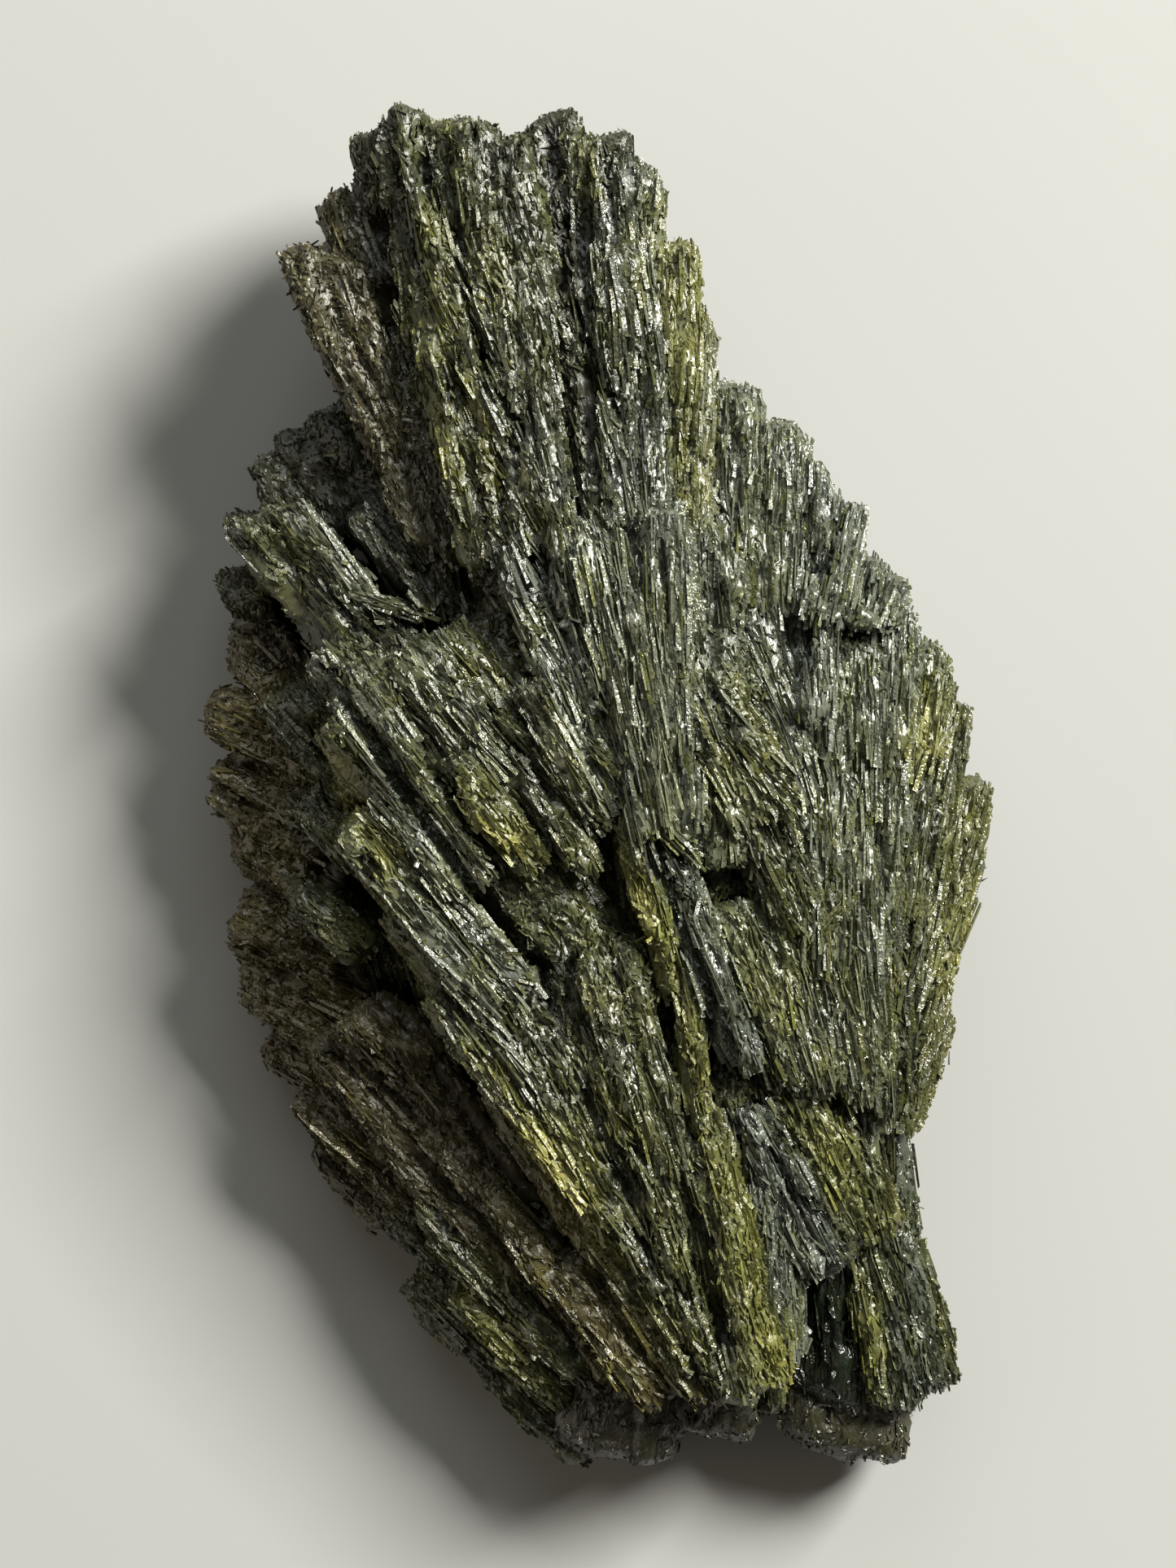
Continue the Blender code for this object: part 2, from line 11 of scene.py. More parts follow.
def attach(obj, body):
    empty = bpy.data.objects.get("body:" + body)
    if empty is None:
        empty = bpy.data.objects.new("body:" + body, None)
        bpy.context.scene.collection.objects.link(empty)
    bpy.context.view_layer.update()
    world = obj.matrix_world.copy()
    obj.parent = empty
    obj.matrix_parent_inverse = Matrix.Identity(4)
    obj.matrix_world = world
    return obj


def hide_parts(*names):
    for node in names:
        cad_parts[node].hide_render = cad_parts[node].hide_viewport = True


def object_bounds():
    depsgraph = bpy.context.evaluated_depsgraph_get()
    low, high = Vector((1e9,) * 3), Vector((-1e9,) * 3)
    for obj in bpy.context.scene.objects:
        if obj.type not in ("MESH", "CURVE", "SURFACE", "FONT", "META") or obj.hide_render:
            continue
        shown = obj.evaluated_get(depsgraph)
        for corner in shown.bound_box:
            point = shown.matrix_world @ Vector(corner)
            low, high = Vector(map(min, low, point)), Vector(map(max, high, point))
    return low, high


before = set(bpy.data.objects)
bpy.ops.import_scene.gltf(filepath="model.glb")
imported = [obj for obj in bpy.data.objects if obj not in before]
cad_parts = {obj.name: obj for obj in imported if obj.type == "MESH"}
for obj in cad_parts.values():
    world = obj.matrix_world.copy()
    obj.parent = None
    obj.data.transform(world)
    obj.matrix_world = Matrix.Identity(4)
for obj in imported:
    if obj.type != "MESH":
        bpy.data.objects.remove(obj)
CAD_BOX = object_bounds()

MM = 0.001
BODY = "root"
NODE = "epidote_cluster"

# The same as the solid's, in millimetres, so that the needles lie along its crystals
CENTRE_X = -0.146
CENTRE_Y = -0.172
SPREAD_OVERLAP = 1.34
TIP_STAGGER = 0.09
INNER_STAGGER = 0.4
ROOT_STAGGER = 0.05
TOP_DROP = 0.26
TOP_RISE = 0.16
UNDERSIDE_STAGGER = 0.5
WIDTH_VARIES = 0.32
LEAN = 0.22
SEED = 8

# A sheaf: its root and the middle of its tips (x, y), then its width, the height of its upper
# side and the height of its lower side, each at the root and at the tips, and how many blades.
# Then its looks, if not the common ones, each from 0 to 1: its tint from black-green to
# yellow-green, how brown and how glossy it is, and how much painted sheen it has
Sheaf = namedtuple("Sheaf", "name root tip width top bottom blades looks")
# The fourth look is painted sheen: a painted reflection of the window, mixed into the colour
TINT, BROWN, GLOSS, SHEEN = range(4)
COMMON_LOOKS = (0.4, 0.12, 0.6, 0.15)
SHEAF_ROWS = (
    # The tall fan that stands out at the upper end
    ("fan_rim", -6, 9.8, -11.2, 22, 1.6, 2.3, 11.8, 11.4, 5.6, 5, 2, 0.26, 0.38, 0.3, 0),
    ("fan_edge_lump", -9, 19.2, -10.7, 23.9, 1.6, 1.6, 10.6, 10.4, 5.6, 5.6, 1, 0.38, 0.45, 0.35, 0),
    ("fan_recess", -4.9, 10.4, -9.2, 24, 1.6, 2.3, 12.7, 11.2, 5.4, 5.8, 1, 0.18, 0.2, 0.25, 0),
    ("fan_crown", -6.8, 18, -8.4, 26.2, 1.8, 2.6, 12.2, 12.3, 5.5, 5.5, 2, 0.3, 0.22, 0.26, 0),
    ("fan_left", -3.9, 9.4, -7.2, 26.9, 2, 2.6, 14, 13.4, 5, 5.5, 3, 0.3, 0.1, 0.4, 0),
    ("fan_mid_left", -1.9, 8.6, -4.4, 26.6, 2, 3, 14.8, 13.8, 4.5, 5.5, 3, 0.31, 0.1, 0.42, 0.05),
    ("fan_channel", -0.1, 12, -1.7, 26.6, 1.1, 1.8, 14, 12.8, 4.5, 5.5, 1, 0.2, 0.15, 0.35, 0),
    ("fan_mid_right", 0.7, 8.4, -0.1, 26.8, 1.4, 2, 14.8, 13.2, 4.5, 5.5, 2, 0.28, 0.08, 0.48, 0.05),
    ("fan_right", 1.9, 8.2, 1.3, 25.3, 1.3, 1.4, 14.8, 12.6, 4.5, 5.8, 2, 0.32, 0.05, 0.7, 0.3),
    ("fan_edge", 2.9, 8, 2.8, 22.3, 1.3, 1.5, 14.5, 11.9, 4.5, 6, 2, 0.54, 0.1, 0.6, 0.1),
    ("fan_edge_low", 3.8, 7, 4, 19.4, 1, 1, 14, 11.6, 4.5, 6, 1, 0.52, 0.1, 0.65, 0.3),
    # The narrow place below the fan, the highest part of the group
    ("waist_left", 1.3, -0.4, -2.9, 10, 1.6, 2.4, 14.4, 14.7, -1, 3, 2, 0.45, 0, 1, 0.85),
    ("waist_mid", 2.3, -1.2, -0.3, 10.8, 1.5, 2.2, 14.8, 15.2, -1, 3, 2, 0.46, 0, 1, 1),
    ("waist_right", 3.2, -1.6, 2.1, 11.4, 1.5, 2.2, 14.5, 15.1, -1, 3, 2, 0.44, 0, 1, 1),
    ("waist_moss", 5, -2.8, 4.3, 10.2, 1.8, 2, 13.2, 13.9, -1, 3, 2, 0.42, 0, 0.6, 0.35),
    ("cross_bar", 4, -2.8, -0.3, 2, 0.5, 0.45, 14.5, 14.8, 10, 10, 1, 0.5, 0.05, 0.55, 0),
    # The broad fan on the right, with its stepped rim
    ("right_inner", 5.6, 2, 5.3, 16.3, 1.6, 1.9, 13.2, 11.6, 1, 4.5, 2, 0.42, 0, 0.81, 0.55),
    ("right_second", 7, 1, 7.2, 15.2, 1.6, 1.9, 12.9, 11.2, 1, 4.2, 2, 0.38, 0, 0.91, 0.6),
    ("right_third", 8.2, 3, 8.6, 13.4, 1.5, 1.8, 12.8, 10.8, 1, 4, 2, 0.38, 0, 1, 0.75),
    ("right_fourth", 8.9, 6.8, 9.8, 11.4, 1.5, 1.7, 12.7, 10.6, 2, 4, 2, 0.38, 0, 1, 0.7),
    ("right_fifth", 10.2, 6.7, 10.7, 9.2, 1.6, 1.6, 12.3, 10.6, 2, 4, 1, 0.36, 0, 0.91, 0.45),
    ("right_step", 11.5, 6.9, 12.1, 8.3, 1.2, 1, 11.6, 10.4, 3, 4, 1, 0.35, 0, 0.86, 0.4),
    ("low_first", 9, -6.5, 8.9, 6.9, 1.5, 1.5, 12.3, 11.8, -1, 2, 2, 0.44, 0, 0.86, 0.45),
    ("low_second", 10.4, -7, 10.3, 6.7, 1.4, 1.5, 11.9, 11.3, -1, 2, 2, 0.42, 0, 0.91, 0.45),
    ("low_third", 11.4, -6.4, 11.9, 7.2, 1.3, 1.5, 11.6, 10.9, -0.4, 2.5, 1, 0.42, 0, 0.91, 0.5),
    ("right_yellow", 12, -5, 13.5, 6, 1.3, 1.5, 11.2, 10, 0.5, 3.2, 2, 0.48, 0.05, 0.7, 0.25),
    ("right_outer", 12.2, -8, 14.4, 3.8, 1.3, 1.3, 10.6, 9.3, 1, 3.4, 1, 0.44, 0.1, 0.71, 0.15),
    ("right_lobe", 12.4, -10, 14.9, 0.6, 1.3, 1.7, 10, 8.8, 1.2, 3.6, 2, 0.47, 0.12, 0.66, 0.1),
    ("lobe_low", 12.4, -11, 14.6, -3.4, 1.2, 1.3, 9.2, 8.4, 1.4, 3.4, 1, 0.47, 0.12, 0.66, 0.1),
    ("right_hem", 12.3, -13, 13.8, -7.9, 1.2, 1.2, 8.6, 7.8, 1.4, 3, 1, 0.44, 0.12, 0.55, 0.05),
    # The crystals of the lower right plate, between the yellow band and the edge
    ("cross_ribs", 6.6, -0.8, 3.9, 4.6, 2.4, 2.4, 13.7, 14, 6, 6, 2, 0.47, 0.05, 0.61, 0.25),
    ("pale_ribs", 8.4, -5.4, 5.6, 1.2, 2.2, 2.2, 12.9, 13.3, 2, 2, 2, 0.47, 0.05, 0.71, 0.4),
    ("plate_a", 7.6, -11.6, 4.7, -3.8, 1.6, 1.8, 12.2, 13.1, -1, -1, 2, 0.45, 0.05, 0.71, 0.25),
    ("plate_b", 9.2, -11.2, 6.6, -3.4, 1.4, 1.6, 12, 12.7, -1, -1, 2, 0.45, 0.05, 0.71, 0.25),
    ("plate_c", 10.3, -11.8, 8.3, -3.6, 1.4, 1.5, 11.6, 12.4, -1, -1, 2, 0.44, 0.05, 0.76, 0.3),
    ("plate_d", 11.2, -12.8, 10.3, -4.2, 1.3, 1.4, 10.9, 12.5, -1, -1, 1, 0.44, 0.05, 0.76, 0.3),
    ("plate_e", 11.8, -13.2, 12, -4.6, 1.2, 1.4, 9.9, 11.5, -0.4, 0.4, 2),
    ("v_crystal", 8, -6.4, 10.6, -3.7, 0.4, 0.5, 12.4, 12.8, 9, 9, 1, 0.54, 0.05, 0.6, 0.1),
    ("olive_block", 10.3, -17.8, 6.9, -10.4, 1.5, 1.5, 10.2, 11.9, -1, -1, 2, 0.5, 0.05, 0.6, 0.1),
    # This block and the tail below carry strong painted sheen, a painted reflection of the window
    ("silver_block", 9.2, -18.9, 5.9, -12.1, 1.7, 1.6, 10.4, 12.1, -1, -1, 2, 0.3, 0, 1, 0.95),
    ("edge_block", 11.2, -17.6, 9.4, -12, 1.4, 1.4, 9.2, 10.8, 0.5, -0.5, 2, 0.44, 0.1, 0.55, 0.1),
    ("edge_tail", 12, -17.2, 11.4, -12.6, 1.2, 1.3, 7.6, 9.2, 1, 0.5, 1),
    ("silver_tail", 7.4, -22.3, 6.6, -14.4, 1.4, 1.3, 10.4, 11.6, -0.4, -1, 1, 0.3, 0, 0.95, 0.7),
    # The long yellow band, and the rods on either side of it
    ("band_top", 3.1, -7.5, 1.3, -0.8, 0.9, 1.1, 13.6, 14, 8, 8, 1, 0.6, 0.05, 0.45, 0.05),
    ("band_mid", 4.5, -13.2, 3.2, -6.7, 0.9, 1, 12.8, 13.4, 8, 8, 1, 0.56, 0.05, 0.45, 0.05),
    ("band_low", 6, -19.2, 4.4, -12.3, 1.1, 1, 11.7, 12.8, 6, 8, 1, 0.52, 0.05, 0.4, 0.05),
    ("band_end", 6.9, -23.3, 5.8, -18.3, 1.4, 1.1, 10.7, 11.8, 4, 6, 1, 0.53, 0.05, 0.4, 0),
    ("bright_rod", 5.8, -10.4, 2.2, -0.9, 0.9, 1, 13.4, 14.5, 6, 8, 2, 0.32, 0, 1, 0.6),
    ("low_a", 2.9, -14.2, 0.3, -5.4, 1.6, 1.9, 12.8, 13.2, -1, -1, 2),
    ("low_b", 2.4, -16.4, -1.8, -6.4, 1.5, 1.8, 12.5, 12.9, -1, -1, 2),
    ("low_c", 2.8, -19, -3.9, -7, 1.4, 1.8, 12, 12.9, -1, -1, 2),
    ("yellow_ridge", 3.9, -22, -4.5, -9.1, 1.3, 1.2, 11.2, 12.4, -1, -1, 2, 0.56, 0.15, 0.8, 0.1),
    ("low_e", 4.6, -23, 1, -13.6, 1.5, 1.6, 11.1, 12.6, -1, -1, 2),
    ("low_f", 5.8, -23.4, 3.2, -13.2, 1.3, 1.4, 11.1, 12.6, -1, -1, 2),
    ("ridge_wall", 4.4, -23.5, -4, -11, 1.3, 1.2, 10.1, 11.3, 0, 0, 2, 0.44, 0.45, 0.6, 0.05),
    # The stepped ridge down the left of the plate, and the knolls behind it
    ("ridge_head", -4.6, -3.4, -10, 3.9, 2.6, 2.8, 13.2, 12.8, -1, 0.5, 3, 0.44, 0.08, 0.85, 0.35),
    ("ridge_nose", -8.6, 3.2, -11.1, 5.5, 1.1, 1.2, 12.6, 12.1, 4, 5, 1),
    ("ridge_second", -3.4, -7.8, -9.5, -0.5, 2, 2, 12.9, 12.5, -1, 0.5, 2, 0.42, 0.08, 0.85, 0.3),
    ("ridge_third", -2.9, -10.4, -8, -4.1, 1.6, 1.6, 12.6, 12.1, -1, 0.5, 2),
    ("ridge_fourth", -2.4, -12.4, -6.5, -7.4, 1.3, 1.3, 12.2, 11.7, -1, 0.5, 1),
    ("moss_floor", 1.4, -8.8, -3.4, -2.4, 2.6, 3.6, 12.3, 12.6, -1, -1, 2, 0.4, 0.05, 0.4, 0.1),
    ("knoll_a", -2.1, -2.9, -5.7, 1.6, 1.2, 1.5, 13.9, 14.2, 6, 6, 2, 0.44, 0.05, 0.5, 0.1),
    ("knoll_b", -0.4, -2.8, -3.4, 1.7, 0.9, 1, 14.1, 14.6, 6, 6, 1),
    ("knoll_c", -1.8, 0, -5.2, 4.2, 1.3, 1.5, 13.6, 13.9, 6, 6, 2, 0.42, 0.05, 0.6, 0.25),
    ("knoll_d", 0.6, -1.2, -2.6, 4.5, 1.3, 1.5, 14.2, 14.5, 6, 6, 2),
    ("brow_a", -4.2, 1.4, -7.5, 5.9, 1.8, 2.2, 13.2, 13, 0, 2, 2, 0.38, 0.05, 0.55, 0.2),
    ("brow_b", -6, -0.6, -9.3, 5.6, 1.6, 1.8, 12.9, 12.6, 0, 2, 2),
    ("brow_c", -2.6, 3, -5.3, 7.5, 1.8, 2, 13.2, 12.4, 0, 3, 2),
    ("moss_knob", -1.6, 5.2, -4, 9.2, 1.8, 2.2, 13.2, 12.2, 2, 5, 2),
    # The smaller, lower cluster at the upper left
    ("west_plate", -8.6, 5.4, -13.4, 11.3, 2.4, 2.9, 11.4, 10.6, 2, 3, 3, 0.31, 0.12, 0.35, 0.05),
    ("west_fan", -5.8, 7.2, -8.9, 12.2, 1.6, 2, 11.7, 11, 3, 4, 2, 0.31, 0.1, 0.35, 0.1),
    ("west_bridge", -7, 6.9, -9.5, 7.8, 0.34, 0.34, 11.7, 11.5, 8, 8, 1),
    ("shoulder", -8.2, 11.6, -10.7, 15.7, 1.8, 2.2, 8.6, 8, 3, 3.6, 2, 0.18, 0.1, 0.2, 0),
    ("shoulder_low", -9.4, 10.4, -12, 14.5, 2, 2, 8.2, 7.6, 3, 3.4, 1, 0.16, 0.1, 0.2, 0),
    ("west_lump", -11.2, 10.2, -13.2, 13.5, 1.4, 1.4, 8, 7.4, 3, 3.4, 1, 0.26, 0.15, 0.3, 0),
    ("west_corner", -12.2, 8.4, -14.4, 11.2, 1.4, 1.4, 7.6, 7, 2.4, 3, 1, 0.3, 0.2, 0.35, 0),
    ("corner_low", -12, 5.8, -14.7, 8.9, 1.6, 1.8, 7, 6.2, 2, 2.6, 1, 0.3, 0.2, 0.35, 0),
    # The rough lower layer along the left edge
    ("edge_top", -11.2, 3.4, -14.5, 6.2, 1.8, 2.2, 8, 6.6, 1.6, 2.4, 1, 0.42, 0.6, 0.7, 0),
    ("edge_a", -10.8, 1.4, -15.4, 3.4, 2.2, 2.2, 8, 6.2, 1, 2.4, 1, 0.42, 0.6, 0.7, 0),
    ("edge_b", -10.6, -1.4, -15.4, 0.9, 2.6, 2.2, 7.6, 5.8, 0.6, 2.2, 2, 0.42, 0.6, 0.7, 0),
    ("edge_c", -9.8, -4.4, -14.5, -1.7, 2.6, 2.4, 7.6, 5.8, 0.4, 2, 1, 0.42, 0.6, 0.7, 0),
    ("edge_d", -9.4, -7.6, -14.8, -4.9, 2.2, 2.3, 7.2, 5.4, 0.2, 1.8, 2, 0.42, 0.6, 0.7, 0),
    ("edge_e", -8.6, -10.6, -14.2, -7.3, 2.4, 2.3, 6.8, 4.8, 0, 1.6, 1, 0.42, 0.6, 0.7, 0),
    ("edge_f", -7.6, -13.4, -13, -10.2, 2.4, 2.3, 6, 4.4, 0, 1.4, 1, 0.42, 0.6, 0.7, 0),
    ("inner_west", -9.6, 0.2, -12.8, 4.2, 1.6, 2, 8.9, 8.6, 2, 2, 2),
    ("mid_lump", -9.6, -3, -12, -0.2, 1.3, 1.5, 9.2, 9.2, 2, 2, 1),
    ("finger", -9.4, -6.2, -12.1, -3.8, 1, 1.2, 9.6, 9.9, 3, 3, 1),
    # The long shaded flank below the ridge, in steps that go down to the left
    ("flank_a", -2, -17.6, -9.8, -8.3, 1.6, 2.2, 8.9, 9.3, -1, 1, 2, 0.3, 0.5, 0.35, 0),
    ("flank_b", -2.4, -19.4, -10.9, -9.6, 1.6, 1.8, 7.6, 7.6, -1, 0.8, 2, 0.3, 0.5, 0.35, 0),
    ("flank_c", -3.2, -20, -11.6, -12, 1.6, 1.8, 6.2, 5.8, -0.6, 0.8, 2, 0.3, 0.5, 0.35, 0),
    ("flank_d", -4.4, -20.6, -11.2, -14.2, 1.6, 1.8, 5, 4.6, 0.2, 1, 1, 0.3, 0.5, 0.35, 0),
    ("flank_e", 0.8, -22.8, -4.2, -15.3, 1.4, 1.6, 9.2, 9.3, -1, -1, 1, 0.36, 0.5, 0.45, 0),
    ("flank_f", 2.8, -23.8, -1.4, -18.1, 1.6, 1.4, 9.4, 9.7, -0.6, -1, 2, 0.38, 0.45, 0.45, 0),
    ("flank_g", -0.6, -22.8, -7, -16.1, 1.6, 1.4, 7.6, 7.2, -0.6, 0, 2),
    ("flank_h", -2, -22.9, -8.3, -17.2, 1.8, 1.7, 5.6, 5, 0.2, 0.8, 1),
    ("green_fan", 1, -24.2, -2.9, -20.2, 1.6, 1.8, 7.4, 7.6, 1, 1, 2, 0.48, 0.2, 0.55, 0.05),
    ("green_crystal", -1, -24.4, -5.5, -20.1, 1.3, 1.2, 6.6, 6.8, 1, 1, 1, 0.52, 0.05, 0.5, 0.05),
    ("hem_low", -0.6, -26.2, -7.4, -20, 1.6, 1.6, 4.8, 4.2, 0.8, 1.2, 1),
    # The dark broken lower end, and the spur beside it. Their free ends point down the length
    ("end_left", 1.2, -20.6, -0.2, -26.8, 3, 3, 8.2, 6.8, 0, 1.6, 2, 0.08, 0.16, 0.45, 0),
    ("end_mid", 3, -20.6, 2.3, -26.9, 2.4, 2, 8.8, 7, 0, 1.6, 1, 0.04, 0.12, 0.55, 0),
    ("end_right", 5, -20.4, 4.9, -26, 2.6, 2.8, 9.2, 7.4, 0.4, 1.8, 2, 0.08, 0.14, 0.45, 0),
    ("end_nib", 6.6, -20.6, 6.9, -24.9, 1.4, 1.3, 9, 7.6, 1, 2, 1),
    ("spur_face", 9.3, -18, 9.4, -24.4, 2.5, 2.6, 7.4, 6.8, 1, 1.8, 1, 0.03, 0, 1, 0),
    ("spur_strip", 10.6, -18.8, 11.6, -24.9, 0.8, 0.9, 7.9, 7.2, 1, 1.8, 1, 0.5, 0.05, 0.6, 0.1),
    ("spur_rays", 10.5, -14.6, 12.9, -24.7, 1.9, 2, 8.5, 6.8, 1, 2, 2, 0.28, 0, 0.81, 0.25),
    ("spur_edge", 11.7, -13, 12.6, -22.6, 1.1, 1.3, 7.6, 6.4, 1, 2.2, 1, 0.26, 0, 0.81, 0.2),
    ("spur_corner", 12.3, -18, 13.9, -24, 1.2, 1.7, 6.8, 6, 1.4, 2.2, 1),
    ("spur_toe", 10.8, -20, 10.9, -27.1, 2.8, 3.5, 6.4, 5.4, 1, 2, 2, 0.12, 0.18, 0.5, 0),
    ("toe_left", 8.6, -20, 8.9, -26.4, 2.2, 2.2, 6.2, 5.6, 1, 2, 1, 0.12, 0.18, 0.5, 0),
    # The thick crystals in the middle that the rest have grown on
    ("heart_fan", 0.6, 5, -3.6, 23.6, 6, 8.6, 12.4, 10.4, 4.6, 6.4, 1),
    ("heart_main", 3.2, -21.6, -1.4, 10.6, 6, 12.4, 9, 11.8, -1.4, -1.2, 1),
    ("heart_right", 8.4, -16.4, 8.6, 10, 6, 7.6, 7.6, 9, -1.3, 2.4, 1),
    ("heart_left", 0.2, -21, -8.2, 6.4, 7.4, 10.2, 6.6, 8, -1.2, -1.3, 1),
    ("heart_west", -5, -8, -11.4, 9.4, 8.4, 6, 6.8, 6.6, -1.1, 1.8, 1),
    ("heart_spur", 9.8, -12.6, 10.9, -24, 3.6, 4.4, 6, 5, -0.3, 1.8, 1),
)

# One crystal: root and tip centres, then its width, top and bottom at each end, and its looks
Blade = namedtuple("Blade", "name root tip width top bottom looks")

# The random numbers of each blade that shape the solid alone. Drawn too, to stay in step with it
SHAPE_DRAWS = 5


def rows(kind, *values):
    """Return a table: one named row of this kind for each tuple of values."""
    return tuple(kind(*row) for row in values)


def sheaf_of(name, *values):
    """Return the sheaf of one row of the table."""
    pairs = [values[place:place + 2] for place in range(0, 10, 2)]
    return Sheaf(name, *pairs, values[10], values[11:] or COMMON_LOOKS)


def flat_frame(root, tip):
    """Return the directions along and across a crystal on the plan, and its length."""
    along = (tip - root).normalized()
    return along, Vector((along.y, -along.x)), (tip - root).length


def split_sheaf(sheaf, chance):
    """Return the blades of one sheaf, side by side across it, with staggered tips and tops."""
    root = Vector(sheaf.root)
    tip = Vector(sheaf.tip)
    along, across, length = flat_frame(root, tip)
    weights = [chance.uniform(1 - WIDTH_VARIES, 1 + WIDTH_VARIES) for _ in range(sheaf.blades)]
    blades = []
    reached = 0.0
    for weight in weights:
        part_of = weight / sum(weights)
        place = 2 * (reached + part_of / 2) - 1
        reached += part_of
        alone = sheaf.blades == 1
        inner = INNER_STAGGER + (1 - INNER_STAGGER) * abs(place)
        tip_back = length * TIP_STAGGER * chance.random() * inner
        root_back = length * ROOT_STAGGER * chance.uniform(-1, 1)
        lift = 0.0 if alone else chance.uniform(-TOP_DROP, TOP_RISE)
        lean = 0.0 if alone else LEAN * chance.uniform(-1, 1)
        share = [width * (1.0 if alone else SPREAD_OVERLAP * part_of) for width in sheaf.width]
        offsets = [place * sheaf.width[0] / 2, place * sheaf.width[1] / 2 + lean]
        top = [height + lift for height in sheaf.top]
        bottom = [height + UNDERSIDE_STAGGER * chance.uniform(-1, 1) for height in sheaf.bottom]
        blades.append(Blade(sheaf.name, root + across * offsets[0] + along * root_back,
                            tip + across * offsets[1] - along * tip_back, share, top, bottom,
                            sheaf.looks))
        for _ in range(SHAPE_DRAWS):
            chance.random()
    return blades


# The broken or smooth sheaves that have few needles
BARE = ("spur_face", "end_left", "end_mid", "end_right", "spur_toe", "toe_left")

# A spot on the cluster, read from the photo: its middle (x, y), its half width and half length,
# and how much it changes what it stands for
Spot = namedtuple("Spot", "x y across along amount")

# Where the crystals are yellower or darker than their sheaf, by how far they move the tint. The
# yellower spots are the crystals' own tone; the darker ones are painted shade in pits
PATCHES = rows(
    Spot,
    (12.8, 2.3, 0.9, 1.7, 0.28),
    (2.6, 21, 1.4, 3.2, 0.14),
    (-0.9, -15, 1.2, 2.6, 0.22),
    (-9.8, 0, 0.8, 2.4, 0.2),
    (-8.2, -2.6, 0.8, 1.6, 0.16),
    (2.3, -4, 0.8, 3, 0.14),
    (5.7, -17.5, 0.9, 3.6, 0.12),
    (6.9, -22, 0.9, 2.2, 0.18),
    (-12.6, 8.4, 1.2, 2, 0.18),
    (-6.4, 18, 1.3, 4.5, 0.12),
    (14.2, -6, 0.8, 3.2, 0.14),
    (7.6, -5.2, 0.8, 2, 0.1),
    (-6, 23.6, 1.4, 2, 0.14),
    (9.4, -15.2, 0.9, 2.4, 0.1),
    (-3.6, -1.6, 1, 0.9, 0.18),
    # These last two spots are darker as painted shade in the pits there
    (-2.6, 8.6, 1.6, 1.2, -0.1),
    (3, -2.9, 1.2, 1, -0.1),
)

# Where short crystals lie every way, like moss, by how thick the moss is, from 0 to 1
MOSSES = rows(
    Spot,
    (-3.3, 7.2, 2.6, 2.2, 1),
    (6, 5.8, 2.8, 3.6, 0.8),
    (-2, -5.4, 3.2, 2.8, 0.9),
    (4.8, -3.4, 2, 1.6, 1),
    (10.3, 5.8, 2.6, 1.2, 0.9),
    (5, -11.5, 1.3, 0.9, 1),
    (1.5, -7.4, 2.2, 4, 0.9),
    (3, 10.6, 2, 2.6, 0.5),
    (2.6, -25.2, 4.6, 1.8, 1),
    (-10, 14, 3, 2.6, 0.9),
    (-13, -3, 2.8, 9, 0.8),
    (-13.2, 7, 2.2, 5, 0.8),
    (-6, 25, 6, 2.4, 0.8),
    (-10.6, 20, 2.4, 4, 0.8),
    (-3.6, 21.5, 2.4, 2.6, 0.6),
    (10, -25.6, 3, 1.8, 0.8),
    (8.4, -15, 3.6, 2.4, 0.5),
)
COMMON_MOSS = 0.3

# A line on it: its two ends (x, y), half its width, and how much it changes
Line = namedtuple("Line", "x y to_x to_y half amount")

# Dark hollows between the crystals, by their depth in millimetres. They are cut into the crust and
# darkened with painted shade
HOLLOWS = rows(
    Line,
    (-10.9, -3.3, -9, -4.1, 0.6, 2),
    (-9, -3.2, -8.8, -4.3, 0.6, 2.6),
    (-9.7, -6.9, -6.4, -9.4, 0.52, 1.9),
    (-6, -11, -3.6, -14, 0.6, 1),
    (-3.6, -14, -1.5, -17.4, 0.7, 1.2),
    (-12.5, 7.6, -11.1, 6.1, 0.62, 2),
    (-9.9, 10, -8.4, 8.3, 0.4, 1.8),
    (-8.9, 6.8, -7.6, 6.6, 0.26, 0.9),
    (-5.8, 1.2, -5.3, -0.6, 0.26, 0.9),
    (-5, -1, -2.8, -2.9, 0.26, 0.8),
    (-2.9, 1.8, -1.1, -1.9, 0.22, 1),
    (-4.3, 3.4, -2.6, 0.6, 0.18, 0.7),
    (-2.5, 9.2, -2.2, 8.2, 0.42, 1.6),
    (-11, 2.6, -11, 1.5, 0.36, 1),
    (6.3, -12, 8, -14, 0.32, 0.9),
    (-8.5, 22.8, -8, 18.4, 0.4, 1.6),
    (-1.3, 22.4, -1.4, 19.8, 0.3, 1),
    (-1, 18.8, 0.9, 14.8, 0.22, 0.9),
    (-4.4, 17.4, -3, 13.6, 0.18, 0.7),
    (-2.8, 26.2, -2.7, 24.6, 0.24, 0.8),
    (-6.9, 24.6, -6.3, 22.8, 0.2, 0.7),
    (2.9, -1.6, 4.6, -3.6, 0.3, 0.9),
    (-7, 2.8, -5.8, 0.2, 0.18, 0.7),
)

# Clefts that short crystals fill, by the height in millimetres that they are filled to
FILLS = rows(
    Line,
    (3.9, -3.2, 5.2, -3.7, 0.8, 11.3),
    (4.3, -11.3, 5.8, -11.8, 0.8, 11.2),
)

# Where the needles lean to the left of their sheaf, by degrees
TURNS = rows(
    Line,
    (-5.4, 20, -3, 11, 1.6, 16),
    (-2, 22, 0.6, 11, 1.4, 12),
    (0.8, 24, 2.4, 16, 0.9, 8),
    (6, 6, 7.6, 1, 1.6, 24),
)

